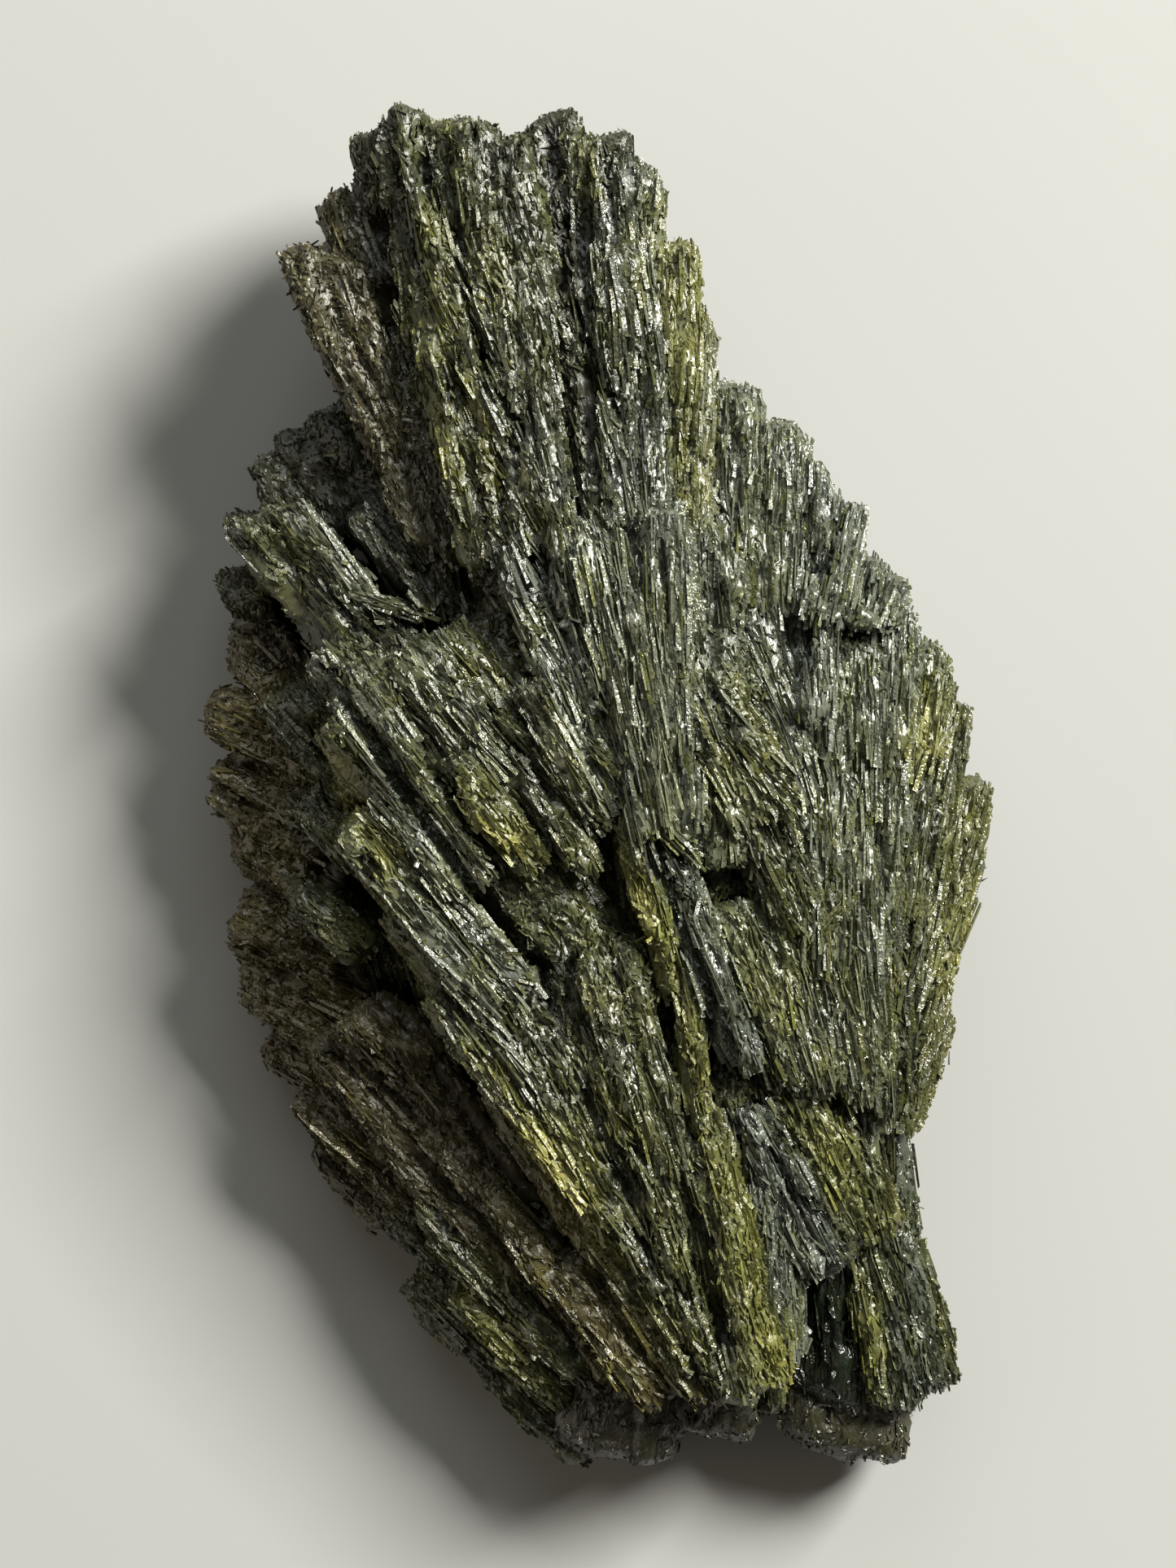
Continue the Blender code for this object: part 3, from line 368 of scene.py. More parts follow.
# Yellow-green rims of the crystals, by how far they move the tint
RIMS = rows(
    Line,
    (-10.6, 2.8, -9.9, 0.4, 0.34, 0.26),
    (-9.9, 0.4, -8.2, -2.8, 0.38, 0.26),
    (-12.8, 8.8, -10.3, 6.3, 0.36, 0.22),
    (-8.1, -3.2, -8, -4.8, 0.22, 0.22),
    (-10.2, -5.2, -8.6, -5.4, 0.5, 0.18),
    (-7.8, -5.4, -6.2, -8.8, 0.38, 0.22),
    (-5.5, 0.7, -4.6, -0.9, 0.3, 0.26),
    (-4.6, -0.9, -2.6, -2.5, 0.32, 0.28),
    (-3.9, -10.4, -3.4, -11.4, 0.34, 0.22),
    (-2.4, -12.8, 0.9, -18.6, 0.5, 0.2),
    (-0.2, -10.4, 1, -12.6, 0.36, 0.18),
    (-5.2, -20.2, -3.4, -22.6, 0.45, 0.2),
    (0, -22.2, 0.8, -23.6, 0.34, 0.22),
    (-1.4, 2.6, 1.6, -2.4, 0.4, 0.14),
    (-7.4, 25.6, -5.2, 26.4, 0.6, 0.16),
    (-5, 16.2, -3.8, 11.8, 0.3, 0.18),
    (-6.6, 15.8, -5.2, 12.6, 0.5, 0.22),
    (-4.6, 22, -3.8, 18.8, 0.7, 0.14),
    (-0.6, 25.8, -0.2, 23.4, 0.6, 0.16),
    (-0.2, 16.4, 0.4, 13.6, 0.26, 0.2),
)

# Crests that catch the light, by how much glossier they are and how much painted sheen they get
CRESTS = rows(
    Line,
    (-4.5, -8, -2.2, -12.2, 0.3, 0.45),
    (-3.9, -6.5, -3.4, -7.4, 0.22, 0.4),
    (0.9, -16.4, 2.6, -19.6, 0.2, 0.45),
    (2.4, -10.3, 2.8, -12.3, 0.16, 0.5),
    (-8.2, 0.6, -6, -3.4, 0.3, 0.4),
    (-8.3, -3.6, -5, -6.4, 0.3, 0.4),
    (-13.6, 10.8, -11.6, 8.4, 0.24, 0.35),
    (-11.2, 10.6, -9, 7.5, 0.22, 0.4),
    (-9.2, 12, -7.2, 10.2, 0.26, 0.35),
    (-5, 4.4, -3.6, 1.4, 0.24, 0.35),
    (-1.6, 3.8, -0.2, 0.4, 0.24, 0.4),
    (-5, 19.8, -3.6, 17, 0.2, 0.45),
    (-0.8, 18.6, 0.8, 15.4, 0.22, 0.45),
    (0.1, 22.8, 1.3, 18.6, 0.24, 0.45),
    (-3.8, 15.4, -0.8, 10.8, 0.6, 0.3),
    (0.4, 14.6, 1.6, 9.6, 0.6, 0.25),
    (8.6, 8.2, 8.7, 4.8, 0.26, 0.4),
    (11.6, 5.6, 11.3, 2.8, 0.22, 0.45),
    (14, 1.2, 14.3, -0.6, 0.24, 0.35),
    (1.4, 5.4, 3.2, -1.6, 0.34, 0.4),
    (3.6, -5.6, 5.6, -11, 0.3, 0.4),
    (10.4, -4.2, 10.8, -8, 0.3, 0.35),
)

# The crust: the solid's own surface remade in small faces and raised into rods and grains.
# Every size here is in millimetres
FACE_SIZE = 0.2
SOFTEN_ROUNDS = 6
LOOKS_SOFTEN_ROUNDS = 7
CRUST_PIECES = 3
BOX_MARGIN = 0.02

# Noise drawn out along the crystals: its size across and along them, its amount and its pattern
Relief = namedtuple("Relief", "across along amount salt")
RODS = rows(Relief, (1.35, 5.5, 0.62, 11), (0.72, 2.8, 0.42, 12), (0.4, 1.5, 0.22, 17))
TROUGHS = Relief(1.9, 7, 0.75, 18)
TROUGH_SHARE = 0.36
GRAINS = rows(Relief, (0.66, 0.85, 0.3, 13), (0.36, 0.42, 0.2, 14))
STEPS = Relief(0.6, 2.2, 0.22, 15)
WARP = Relief(1.3, 1.9, 0.8, 16)

# How far apart two blades take their patterns
BLADES_APART = np.array((7.3, 11.9, 5.1))

# What share of the rods and steps moss hides, and of the grains that show anywhere and in moss
RODS_IN_MOSS = 0.6
STEPS_IN_MOSS = 0.5
GRAINS_ANYWHERE = 0.35
GRAINS_IN_MOSS = 0.9

# The rods fade over this last stretch of a blade, down to this share of their height
TIP_CALM = 1.5
LEAST_AT_TIP = 0.3

# The sway of the hollows' edges, the rise at the edge of a filled cleft, and the moss's patches
HOLLOW_SWAY = Relief(0.9, 0.9, 0.5, 41)
FILL_RISE = 1.6
MOSS_PATCHES = rows(Relief, (1.7, 1.7, 0.49, 31), (0.8, 0.8, 0.21, 32))

# What a millimetre of hollow, a millimetre of relief and full moss add to the looks, and how
# these vary along the crystals. A hollow darkens the tint and takes off sheen as painted shade;
# relief lightens the tint on crests as painted light and darkens it in troughs as painted shade
SHADE_OF_HOLLOWS = (-0.22, 0, -0.45, -0.6)
LIGHT_AND_SHADE_OF_RELIEF = (0.2, 0, 0.25, 0)
OF_MOSS = (0, 0, -0.12, 0)
TINT_STREAKS = Relief(0.5, 3, 0.16, 21)
TINT_SHIFT = -0.05
GLOSS_STREAKS = Relief(0.6, 1.6, 0.3, 22)
# Painted sheen: its patchy noise, the share of it anywhere, how much more of it raised crystals get,
# and its cap
SHEEN_NOISE = Relief(0.7, 2.2, 1.4, 23)
SHEEN_ANYWHERE = 0.3
SHEEN_ON_RELIEF = 0.8
MOST_SHEEN = 2

# Needle crystals on a square millimetre of the upper side, the walls and the underside, the
# share of them on bare sheaves, and how high off the floor they start
CROWD_ABOVE = 26
CROWD_ON_WALLS = 7.5
CROWD_BELOW = 1.6
BARE_SHARE = 0.35
UPPER_FACING = 0.25
UNDERSIDE_FACING = -0.3
FLOOR_CLEARANCE = 0.25

# A kind of needle: its width and length, how far it strays from the way of its crystal, how much
# glossier it is and how many times as much painted sheen it has
Needle = namedtuple("Needle", "width length stray gloss silver")
GRAIN = Needle((0.07, 0.18), (0.2, 0.7), 0.3, 0, 1)
ROD = Needle((0.09, 0.16), (0.9, 2.3), 0.06, 0.25, 1.5)

# The share of rods by how the crust shines and how mossy it is, and how needles differ in moss,
# on the underside and from one to another
ROD_SHARE = 0.22
RODS_OFF_MOSS = 1.5
RODS_LOST_IN_MOSS = 1.3
MOSS_STRAY = 0.7
THINNER_IN_MOSS = 0.3
COARSER_BELOW = 1.6
MOST_ROLL = 0.42
END_ON = 0.5

# How far a needle lies off and in the crust, juts past the tip of its blade and may stand out
# over a cleft, and the share of it ahead of its place, less where it points out of the crust
NEEDLE_LIFT = (-0.05, 0.1)
NEEDLE_DEPTH = 0.1
TIP_REACH = 0.3
MOST_OUT = 0.32
AHEAD_SHARE = 0.5
AHEAD_LOST = 0.4

# The form of a needle, as shares of its width: its height, how much its end narrows, how far
# its ridge lies off the middle and is cut back at the end, and the breadth of a side
THICKNESS = (0.35, 0.7)
TAPER = (0.12, 0.95)
RIDGE_OFF = (-0.7, 0.7)
CUT_BACK = (0.1, 1.4)
SIDE_BREADTH = 0.6
GRAIN_SHIFT = 40

# How the looks vary from needle to needle
LOOKS_VARY = ((TINT, 0.05), (BROWN, 0.05), (GLOSS, 0.14))
SHEEN_VARIES = (0, 2)
CRYSTAL_PIECES = 5

# The six corners of a needle, left foot, ridge and right foot at its start and then at its end,
# make three sides and two ends
NEEDLE_CORNERS = 6
NEEDLE_SIDES = np.array(((0, 1, 4, 3), (1, 2, 5, 4), (2, 0, 3, 5)))
NEEDLE_ENDS = np.array(((2, 1, 0), (3, 4, 5)))

# What the needles need of the surface, point by point. Left is the way to the blade's tip
Surface = namedtuple("Surface", "points normals ways looks moss left bare")


def hashed(cells, salt):
    """Mix the bits of each row of three whole numbers into a random number from 0 to 1."""
    mixed = cells[:, 0] * 73856093 ^ cells[:, 1] * 19349663 ^ cells[:, 2] * 83492791
    mixed = (mixed ^ salt * 2654435761) & 0x7FFFFFFF
    mixed = (mixed ^ (mixed >> 13)) * 1274126177 & 0x7FFFFFFF
    mixed = (mixed ^ (mixed >> 15)) * 40503 & 0x7FFFFFFF
    return ((mixed >> 8) & 0xFFFF) / 0xFFFF


def soft_noise(places, salt):
    """Return smooth noise from 0 to 1 at each place."""
    cells = np.floor(places).astype(np.int64)
    share = places - cells
    share = share * share * (3 - 2 * share)
    total = np.zeros(len(places))
    for corner in range(8):
        step = np.array([corner & 1, (corner >> 1) & 1, (corner >> 2) & 1])
        weight = np.prod(np.where(step == 1, share, 1 - share), axis=1)
        total += weight * hashed(cells + step, salt)
    return total


def add_object(name, data):
    """Add an object to the scene, and return it."""
    thing = bpy.data.objects.new(name, data)
    bpy.context.scene.collection.objects.link(thing)
    return thing


def surface_in_small_faces(node):
    """Return the solid's surface as an even mesh of small faces, in millimetres."""
    source = node.data.copy()
    source.transform(Matrix.Scale(1 / MM, 4))
    thing = add_object("surface", source)
    remesh = thing.modifiers.new("small_faces", 'REMESH')
    remesh.mode = 'VOXEL'
    remesh.voxel_size = FACE_SIZE
    depsgraph = bpy.context.evaluated_depsgraph_get()
    made = bpy.data.meshes.new_from_object(thing.evaluated_get(depsgraph))
    bpy.data.objects.remove(thing, do_unlink=True)
    bpy.data.meshes.remove(source)
    return made


def read_rows(items, name, parts=3, kind=float):
    """Return a value of several parts for every item of a mesh, as rows."""
    flat = np.empty(len(items) * parts, dtype=kind)
    items.foreach_get(name, flat)
    return flat.reshape(-1, parts)


def softened(points, edges, rounds):
    """Return rows of values, each drawn towards the mean of its neighbours."""
    first, second = edges[:, 0], edges[:, 1]
    count = np.bincount(edges.ravel(), minlength=len(points))
    for _ in range(rounds):
        means = np.empty_like(points)
        for axis in range(points.shape[1]):
            near = np.bincount(first, points[second, axis], len(points))
            near += np.bincount(second, points[first, axis], len(points))
            means[:, axis] = near / count
        points = points / 2 + means / 2
    return points


def owned(points, blades):
    """Return which blade each point belongs to, its place across, along and up that blade, the
    direction of the crystals there and how far off the blade's tip is."""
    nearest = np.full(len(points), np.inf)
    owner = np.zeros(len(points), dtype=np.int64)
    places = np.zeros((len(points), 3))
    ways = np.zeros((len(points), 3))
    left = np.zeros(len(points))
    for number, blade in enumerate(blades):
        along, across, length = flat_frame(blade.root, blade.tip)
        offset_x = points[:, 0] + CENTRE_X - blade.root.x
        offset_y = points[:, 1] + CENTRE_Y - blade.root.y
        far = offset_x * along.x + offset_y * along.y
        share = np.clip(far / length, 0, 1)
        aside = offset_x * across.x + offset_y * across.y
        widening, top_rise, bottom_rise = (
            pair[1] - pair[0] for pair in (blade.width, blade.top, blade.bottom))
        half = (blade.width[0] + widening * share) / 2
        top = blade.top[0] + top_rise * share
        bottom = blade.bottom[0] + bottom_rise * share
        height = points[:, 2]
        outside = np.maximum.reduce((np.abs(aside) - half, height - top, bottom - height,
                                     far - length, -far))
        closer = np.nonzero(outside < nearest)[0]
        nearest[closer] = outside[closer]
        owner[closer] = number
        left[closer] = (length - far)[closer]
        places[closer] = np.stack((aside, far, height), axis=1)[closer]
        up = np.clip((height - bottom) / (top - bottom), 0, 1)
        rise = (top_rise * up + bottom_rise * (1 - up)) / length
        spread = widening / 2 / length * np.clip(aside / half, -1, 1)
        way = np.stack((along.x + across.x * spread, along.y + across.y * spread, rise), axis=1)
        ways[closer] = way[closer]
    return owner, places, unit(ways), left


def unit(vectors):
    """Return vectors at a length of one."""
    return vectors / np.maximum(np.linalg.norm(vectors, axis=1, keepdims=True), 1e-9)


def spot_share(points, spot):
    """Return how much a round spot covers each point, from 0 to 1."""
    far = np.hypot((points[:, 0] + CENTRE_X - spot.x) / spot.across,
                   (points[:, 1] + CENTRE_Y - spot.y) / spot.along)
    return np.exp(-far ** 4)


def line_share(points, line):
    """Return how much a line covers each point, from 0 to 1."""
    start = np.array((line.x - CENTRE_X, line.y - CENTRE_Y))
    run = np.array((line.to_x - line.x, line.to_y - line.y))
    away = points[:, :2] - start
    share = np.clip(away @ run / (run @ run), 0, 1)
    off = np.linalg.norm(away - share[:, None] * run, axis=1)
    return np.exp(-(off / line.half) ** 4)


def turned(points, ways):
    """Return the directions of the crystals, turned on the plan where the photo shows it."""
    angle = np.zeros(len(points))
    for line in TURNS:
        angle += np.radians(line.amount) * line_share(points, line)
    cosine, sine = np.cos(angle), np.sin(angle)
    return np.stack((ways[:, 0] * cosine - ways[:, 1] * sine,
                     ways[:, 0] * sine + ways[:, 1] * cosine, ways[:, 2]), axis=1)


def facing_up(normals):
    """Return 1 where the surface faces up, down to 0 where it stands upright."""
    return np.clip(normals[:, 2] * 2, 0, 1)


def hollow_depth(points, normals):
    """Return how deep the hollows reach into the upper side at each point."""
    wavy = points + wave(points, HOLLOW_SWAY)[:, None]
    depth = np.zeros(len(points))
    for line in HOLLOWS:
        depth = np.maximum(depth, line.amount * line_share(wavy, line))
    return depth * facing_up(normals)


def fill_height(points, normals):
    """Return how far the bottom of a filled cleft is raised at each point."""
    fill = np.zeros(len(points))
    for line in FILLS:
        short = np.maximum(line.amount - points[:, 2], 0)
        fill = np.maximum(fill, short * np.minimum(line_share(points, line) * FILL_RISE, 1))
    return fill * facing_up(normals)


def mossiness(points):
    """Return how mossy the surface is at each point, from 0 to 1."""
    moss = np.full(len(points), COMMON_MOSS)
    for spot in MOSSES:
        moss = np.maximum(moss, spot.amount * spot_share(points, spot))
    return np.clip(moss + sum(wave(points, patch) for patch in MOSS_PATCHES), 0, 1)


def relief_noise(places, relief):
    """Return smooth noise from 0 to 1, drawn out along the crystals."""
    sizes = np.array((relief.across, relief.along, relief.across))
    return soft_noise(places / sizes, relief.salt)


def wave(places, relief):
    """Return a relief's noise about zero, times its amount."""
    return (relief_noise(places, relief) - 0.5) * relief.amount


def warped(places):
    """Return places shifted a little, so that no rod runs dead straight."""
    shift = np.zeros_like(places)
    for axis in (0, 2):
        shift[:, axis] = wave(places, WARP._replace(salt=WARP.salt + axis))
    return places + shift


def crust_lift(places, moss):
    """Return how far each point of the crust stands out, in millimetres."""
    places = warped(places)
    lift = np.zeros(len(places))
    for relief in RODS:
        ridge = 1 - np.abs(2 * relief_noise(places, relief) - 1)
        lift += (ridge - 0.5) * relief.amount * (1 - RODS_IN_MOSS * moss)
    off_crest = np.abs(2 * relief_noise(places, TROUGHS) - 1) - TROUGH_SHARE
    lift -= np.clip(off_crest / TROUGH_SHARE, 0, 1) * TROUGHS.amount
    for relief in GRAINS:
        lift += wave(places, relief) * (GRAINS_ANYWHERE + GRAINS_IN_MOSS * moss)
    cells = np.floor(places / np.array((STEPS.across, 1, STEPS.across))).astype(np.int64)
    cells[:, 1] = 0
    start = hashed(cells, STEPS.salt)
    cells[:, 1] = np.floor(places[:, 1] / STEPS.along + start)
    step = (hashed(cells, STEPS.salt + 1) - 0.5) * STEPS.amount
    return lift + step * (1 - STEPS_IN_MOSS * moss)


def crust_looks(points, owner, lift, moss, depth, places, blades):
    """Return the tint, brown, gloss and painted sheen of every point of the crust."""
    looks = np.array([blade.looks for blade in blades])[owner]
    for patch in PATCHES:
        looks[:, TINT] += patch.amount * spot_share(points, patch)
    for line in RIMS:
        looks[:, TINT] += line.amount * line_share(points, line)
    for line in CRESTS:
        # Crests get more gloss and more painted sheen
        looks[:, GLOSS:] += line.amount * line_share(points, line)[:, None]
    # Hollows darken the tint as painted shade; relief lightens crests as painted light and darkens
    # troughs as painted shade
    for shape, change in ((depth, SHADE_OF_HOLLOWS), (lift, LIGHT_AND_SHADE_OF_RELIEF), (moss, OF_MOSS)):
        looks += shape[:, None] * np.array(change)
    looks[:, TINT] += wave(places, TINT_STREAKS) + TINT_SHIFT
    looks[:, GLOSS] += wave(places, GLOSS_STREAKS)
    # Painted sheen, in patches and more on the raised crystals
    sheen_spread = SHEEN_ANYWHERE + SHEEN_NOISE.amount * relief_noise(places, SHEEN_NOISE)
    looks[:, SHEEN] *= np.clip(sheen_spread + SHEEN_ON_RELIEF * lift, 0, MOST_SHEEN)
    return looks


def kept_in_box(points):
    """Return points in metres, kept within the solid's own box and a thin margin."""
    low, high = (np.array(corner) for corner in CAD_BOX)
    margin = (high - low) * BOX_MARGIN
    least = low - margin
    least[2] = low[2]
    return np.clip(points * MM, least, high + margin)


def add_piece(name, points, faces, looks, grains, material, smooth):
    """Make one piece of the cluster, with its looks stored on its points."""
    mesh = bpy.data.meshes.new(name)
    mesh.from_pydata(kept_in_box(points).tolist(), [], faces)
    if smooth:
        mesh.shade_smooth()
    look = mesh.attributes.new("look", 'FLOAT_COLOR', 'POINT')
    look.data.foreach_set("color", looks.ravel())
    grain = mesh.attributes.new("grain", 'FLOAT_VECTOR', 'POINT')
    grain.data.foreach_set("vector", grains.ravel())
    mesh.materials.append(material)
    piece = add_object(name, mesh)
    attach(piece, BODY)
    return piece


def add_crust_pieces(mesh, points, looks, places, material):
    """Add the crust in a few pieces, one after another along the cluster."""
    faces = [tuple(face.vertices) for face in mesh.polygons]
    reach = points[[face[0] for face in faces], 1]
    limits = np.quantile(reach, np.linspace(0, 1, CRUST_PIECES + 1)[1:-1])
    band = np.searchsorted(limits, reach)
    for number in range(CRUST_PIECES):
        chosen = [faces[index] for index in np.nonzero(band == number)[0]]
        used = np.unique([corner for face in chosen for corner in face])
        order = {old: new for new, old in enumerate(used.tolist())}
        renumbered = [[order[corner] for corner in face] for face in chosen]
        piece = add_piece(f"crust_{number + 1}", points[used], renumbered, looks[used],
                          places[used], material, True)
        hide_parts(NODE)


def make_crust(node, blades, material):
    """Make the crust, and return what the needles on it need to know of its surface."""
    mesh = surface_in_small_faces(node)
    edges = read_rows(mesh.edges, "vertices", 2, np.int64)
    points = softened(read_rows(mesh.vertices, "co"), edges, SOFTEN_ROUNDS)
    mesh.vertices.foreach_set("co", points.ravel())
    mesh.update()
    normals = read_rows(mesh.vertex_normals, "vector")
    owner, places, ways, left = owned(points, blades)
    moss = mossiness(points)
    apart = places + owner[:, None] * BLADES_APART
    lift = crust_lift(apart, moss)
    lift = np.where(lift > 0, lift * np.clip(left / TIP_CALM, LEAST_AT_TIP, 1), lift)
    depth = hollow_depth(points, normals)
    looks = crust_looks(points, owner, lift, moss, depth, apart, blades)
    looks = np.clip(softened(looks, edges, LOOKS_SOFTEN_ROUNDS), 0, 1)
    moved = points + normals * (lift - depth)[:, None]
    moved[:, 2] += fill_height(points, normals)
    add_crust_pieces(mesh, moved, looks, places, material)
    bpy.data.meshes.remove(mesh)
    bare = np.array([blade.name in BARE for blade in blades])[owner]
    return Surface(moved, normals, turned(points, ways), looks, moss, left, bare)


def rooted(surface, chance):
    """Pick the surface points that the needles stand on."""
    facing = surface.normals[:, 2]
    crowd = np.where(facing > UPPER_FACING, CROWD_ABOVE, CROWD_ON_WALLS)
    crowd = np.where(facing < UNDERSIDE_FACING, CROWD_BELOW, crowd)
    crowd = np.where(surface.bare, crowd * BARE_SHARE, crowd)
    crowd = np.where(surface.points[:, 2] < FLOOR_CLEARANCE, 0, crowd) * FACE_SIZE ** 2
    whole = np.floor(crowd).astype(int)
    count = whole + (chance.random(len(crowd)) < crowd - whole)
    return np.repeat(np.arange(len(crowd)), count)


def needle_axes(surface, picked, rods, chance):
    """Return the directions along, up and across each needle."""
    normals = surface.normals[picked]
    moss = surface.moss[picked][:, None]
    ways = surface.ways[picked]
    facing_out = np.sum(ways * normals, axis=1, keepdims=True)
    ways = np.where(np.abs(facing_out) > END_ON, ways * np.sign(facing_out), ways)
    spread = np.where(rods[:, None], ROD.stray, GRAIN.stray + MOSS_STRAY * moss ** 3)
    along = unit(ways + spread * (chance.normal(0, 1, ways.shape) + normals))
    side = unit(np.cross(along, unit(normals + chance.normal(0, MOST_ROLL, ways.shape))))
    return along, np.cross(side, along), side


def needle_sizes(normals, moss, rods, chance):
    """Return the length and the width of every needle."""
    count = len(rods)
    coarse = np.where(normals[:, 2] < UNDERSIDE_FACING, COARSER_BELOW, 1.0)
    long = coarse * np.where(rods, chance.uniform(*ROD.length, count),
                             chance.uniform(*GRAIN.length, count))
    thin = 1 - THINNER_IN_MOSS * moss
    wide = coarse * np.where(rods, chance.uniform(*ROD.width, count),
                             chance.uniform(*GRAIN.width, count) * thin)
    return long, wide


def needle_ends(surface, picked, along, side, long, chance):
    """Return every needle's place, and where it starts and ends."""
    count = len(picked)
    normals = surface.normals[picked]
    place = surface.points[picked] + normals * chance.uniform(*NEEDLE_LIFT, (count, 1))
    place += side * chance.normal(0, FACE_SIZE / 2, (count, 1))
    jut = np.abs(np.sum(along * normals, axis=1))
    room = np.maximum(surface.left[picked], 0) + TIP_REACH * chance.random(count)
    ahead = np.minimum(long * (AHEAD_SHARE - AHEAD_LOST * jut), room)
    return place, place - along * (long - ahead)[:, None], place + along * ahead[:, None]


def needle_corners(start, end, along, up, side, wide, chance):
    """Return the corners of every needle: a ridged bar that narrows to a slanted tip."""
    count = len(wide)
    thick = (wide * chance.uniform(*THICKNESS, count))[:, None]
    taper = chance.uniform(*TAPER, (count, 1))
    ridge = chance.uniform(*RIDGE_OFF, (count, 1))
    slant = along * (wide * chance.uniform(*CUT_BACK, count))[:, None]
    low = up * NEEDLE_DEPTH
    corners = []
    for centre, scale, back in ((start, 1.0, 0.0), (end, taper, 1.0)):
        half = wide[:, None] / 2 * scale
        corners.append(centre - side * half - low)
        corners.append(centre + side * half * ridge + up * thick * scale - slant * back)
        corners.append(centre + side * half - low)
    return np.stack(corners, axis=1)


def needle_looks(surface, picked, rods, chance):
    """Return the looks of every needle: the crust's, varied a little."""
    count = len(picked)
    looks = surface.looks[picked]
    looks[:, GLOSS] += np.where(rods, ROD.gloss, GRAIN.gloss)
    for column, most in LOOKS_VARY:
        looks[:, column] += chance.normal(0, most, count)
    looks[:, SHEEN] *= np.where(rods, ROD.silver, GRAIN.silver)
    looks[:, SHEEN] *= chance.uniform(*SHEEN_VARIES, count)
    return np.clip(looks, 0, 1)


def needle_grains(wide, long, chance):
    """Return each needle corner's place across and along its needle, and 1 on its ridge, where the
    finish lightens the tint as painted light.
    """
    count = len(wide)
    around = SIDE_BREADTH * np.array((-1, 0, 1, -1, 0, 1))
    ends = np.array((0, 0, 0, 1, 1, 1))
    ridge = np.array((0, 1, 0, 0, 1, 0))
    shifts = chance.uniform(0, GRAIN_SHIFT, (count, 2))
    across = shifts[:, :1] + wide[:, None] * around
    down = shifts[:, 1:] + long[:, None] * ends
    return np.stack((across, down, np.broadcast_to(ridge, (count, NEEDLE_CORNERS))), axis=2)


def height_off(surface, tree, spots):
    """Return how far each spot stands out of the nearest part of the crust."""
    near = [tree.find(spot)[1] for spot in spots.tolist()]
    return np.sum((spots - surface.points[near]) * surface.normals[near], axis=1)


def well_placed(surface, points, start, end):
    """Return which needles stay above the floor, with both ends near the crust."""
    tree = KDTree(len(surface.points))
    for index, point in enumerate(surface.points.tolist()):
        tree.insert(point, index)
    tree.balance()
    out = np.maximum(height_off(surface, tree, start), height_off(surface, tree, end))
    return (np.min(points[:, :, 2], axis=1) > 0) & (out < MOST_OUT)


def make_needles(surface, material):
    """Lay needle crystals on the crust, along the crystals that they belong to."""
    chance = np.random.default_rng(SEED)
    picked = rooted(surface, chance)
    moss = surface.moss[picked]
    shine = surface.looks[picked, GLOSS] + surface.looks[picked, SHEEN]
    rod_share = ROD_SHARE * shine * (RODS_OFF_MOSS - RODS_LOST_IN_MOSS * moss)
    rods = chance.random(len(picked)) < rod_share
    along, up, side = needle_axes(surface, picked, rods, chance)
    long, wide = needle_sizes(surface.normals[picked], moss, rods, chance)
    place, start, end = needle_ends(surface, picked, along, side, long, chance)
    points = needle_corners(start, end, along, up, side, wide, chance)
    looks = needle_looks(surface, picked, rods, chance)
    looks = np.repeat(looks[:, None, :], NEEDLE_CORNERS, axis=1)
    grains = needle_grains(wide, long, chance)
    order = np.argsort(place[:, 1])
    order = order[well_placed(surface, points, start, end)[order]]
    for number, chosen in enumerate(np.array_split(order, CRYSTAL_PIECES)):
        first = np.arange(len(chosen))[:, None, None] * NEEDLE_CORNERS
        faces = (first + NEEDLE_SIDES).reshape(-1, 4).tolist()
        faces += (first + NEEDLE_ENDS).reshape(-1, 3).tolist()
        add_piece(f"crystals_{number + 1}", points[chosen].reshape(-1, 3), faces,
                  looks[chosen].reshape(-1, 4), grains[chosen].reshape(-1, 3), material, False)


class Nodes:
    """Adds nodes to a material, and links them."""

    def __init__(self, material):
        material.use_nodes = True
        self.tree = material.node_tree
        self.tree.nodes.clear()

    def add(self, kind, **values):
        node = self.tree.nodes.new(kind)
        for name, value in values.items():
            setattr(node, name, value)
        return node

    def link(self, source, target):
        self.tree.links.new(source, target)

    def math(self, operation, *inputs):
        """Add an operation on sockets or numbers, and return its output."""
        node = self.add("ShaderNodeMath", operation=operation)
        for socket, value in zip(node.inputs, inputs):
            if isinstance(value, (int, float)):
                socket.default_value = value
            else:
                self.link(value, socket)
        return node.outputs[0]

    def noise(self, place, scale, detail):
        """Add noise at a place, and return its output."""
        node = self.add("ShaderNodeTexNoise")
        node.inputs["Scale"].default_value = scale
        node.inputs["Detail"].default_value = detail
        self.link(place, node.inputs["Vector"])
        return node.outputs[0]

    def stretched(self, place, scale):
        """Add a mapping that scales a place, and return its output."""
        node = self.add("ShaderNodeMapping")
        node.inputs["Scale"].default_value = scale
        self.link(place, node.inputs["Vector"])
        return node.outputs[0]

    def mixed(self, share, colour, other):
        """Add a mix of a colour socket and a plain colour, and return its output."""
        node = self.add("ShaderNodeMix", data_type='RGBA')
        self.link(share, node.inputs[0])
        self.link(colour, node.inputs[6])
        node.inputs[7].default_value = other
        return node.outputs[2]


TINT_STOPS = (
    (0.00, (0.004, 0.006, 0.003)),
    (0.25, (0.013, 0.018, 0.007)),
    (0.42, (0.035, 0.040, 0.010)),
    (0.60, (0.070, 0.073, 0.014)),
    (0.80, (0.124, 0.124, 0.026)),
    (1.00, (0.210, 0.200, 0.060)),
)
BROWN_COLOUR = (0.064, 0.045, 0.014, 1)
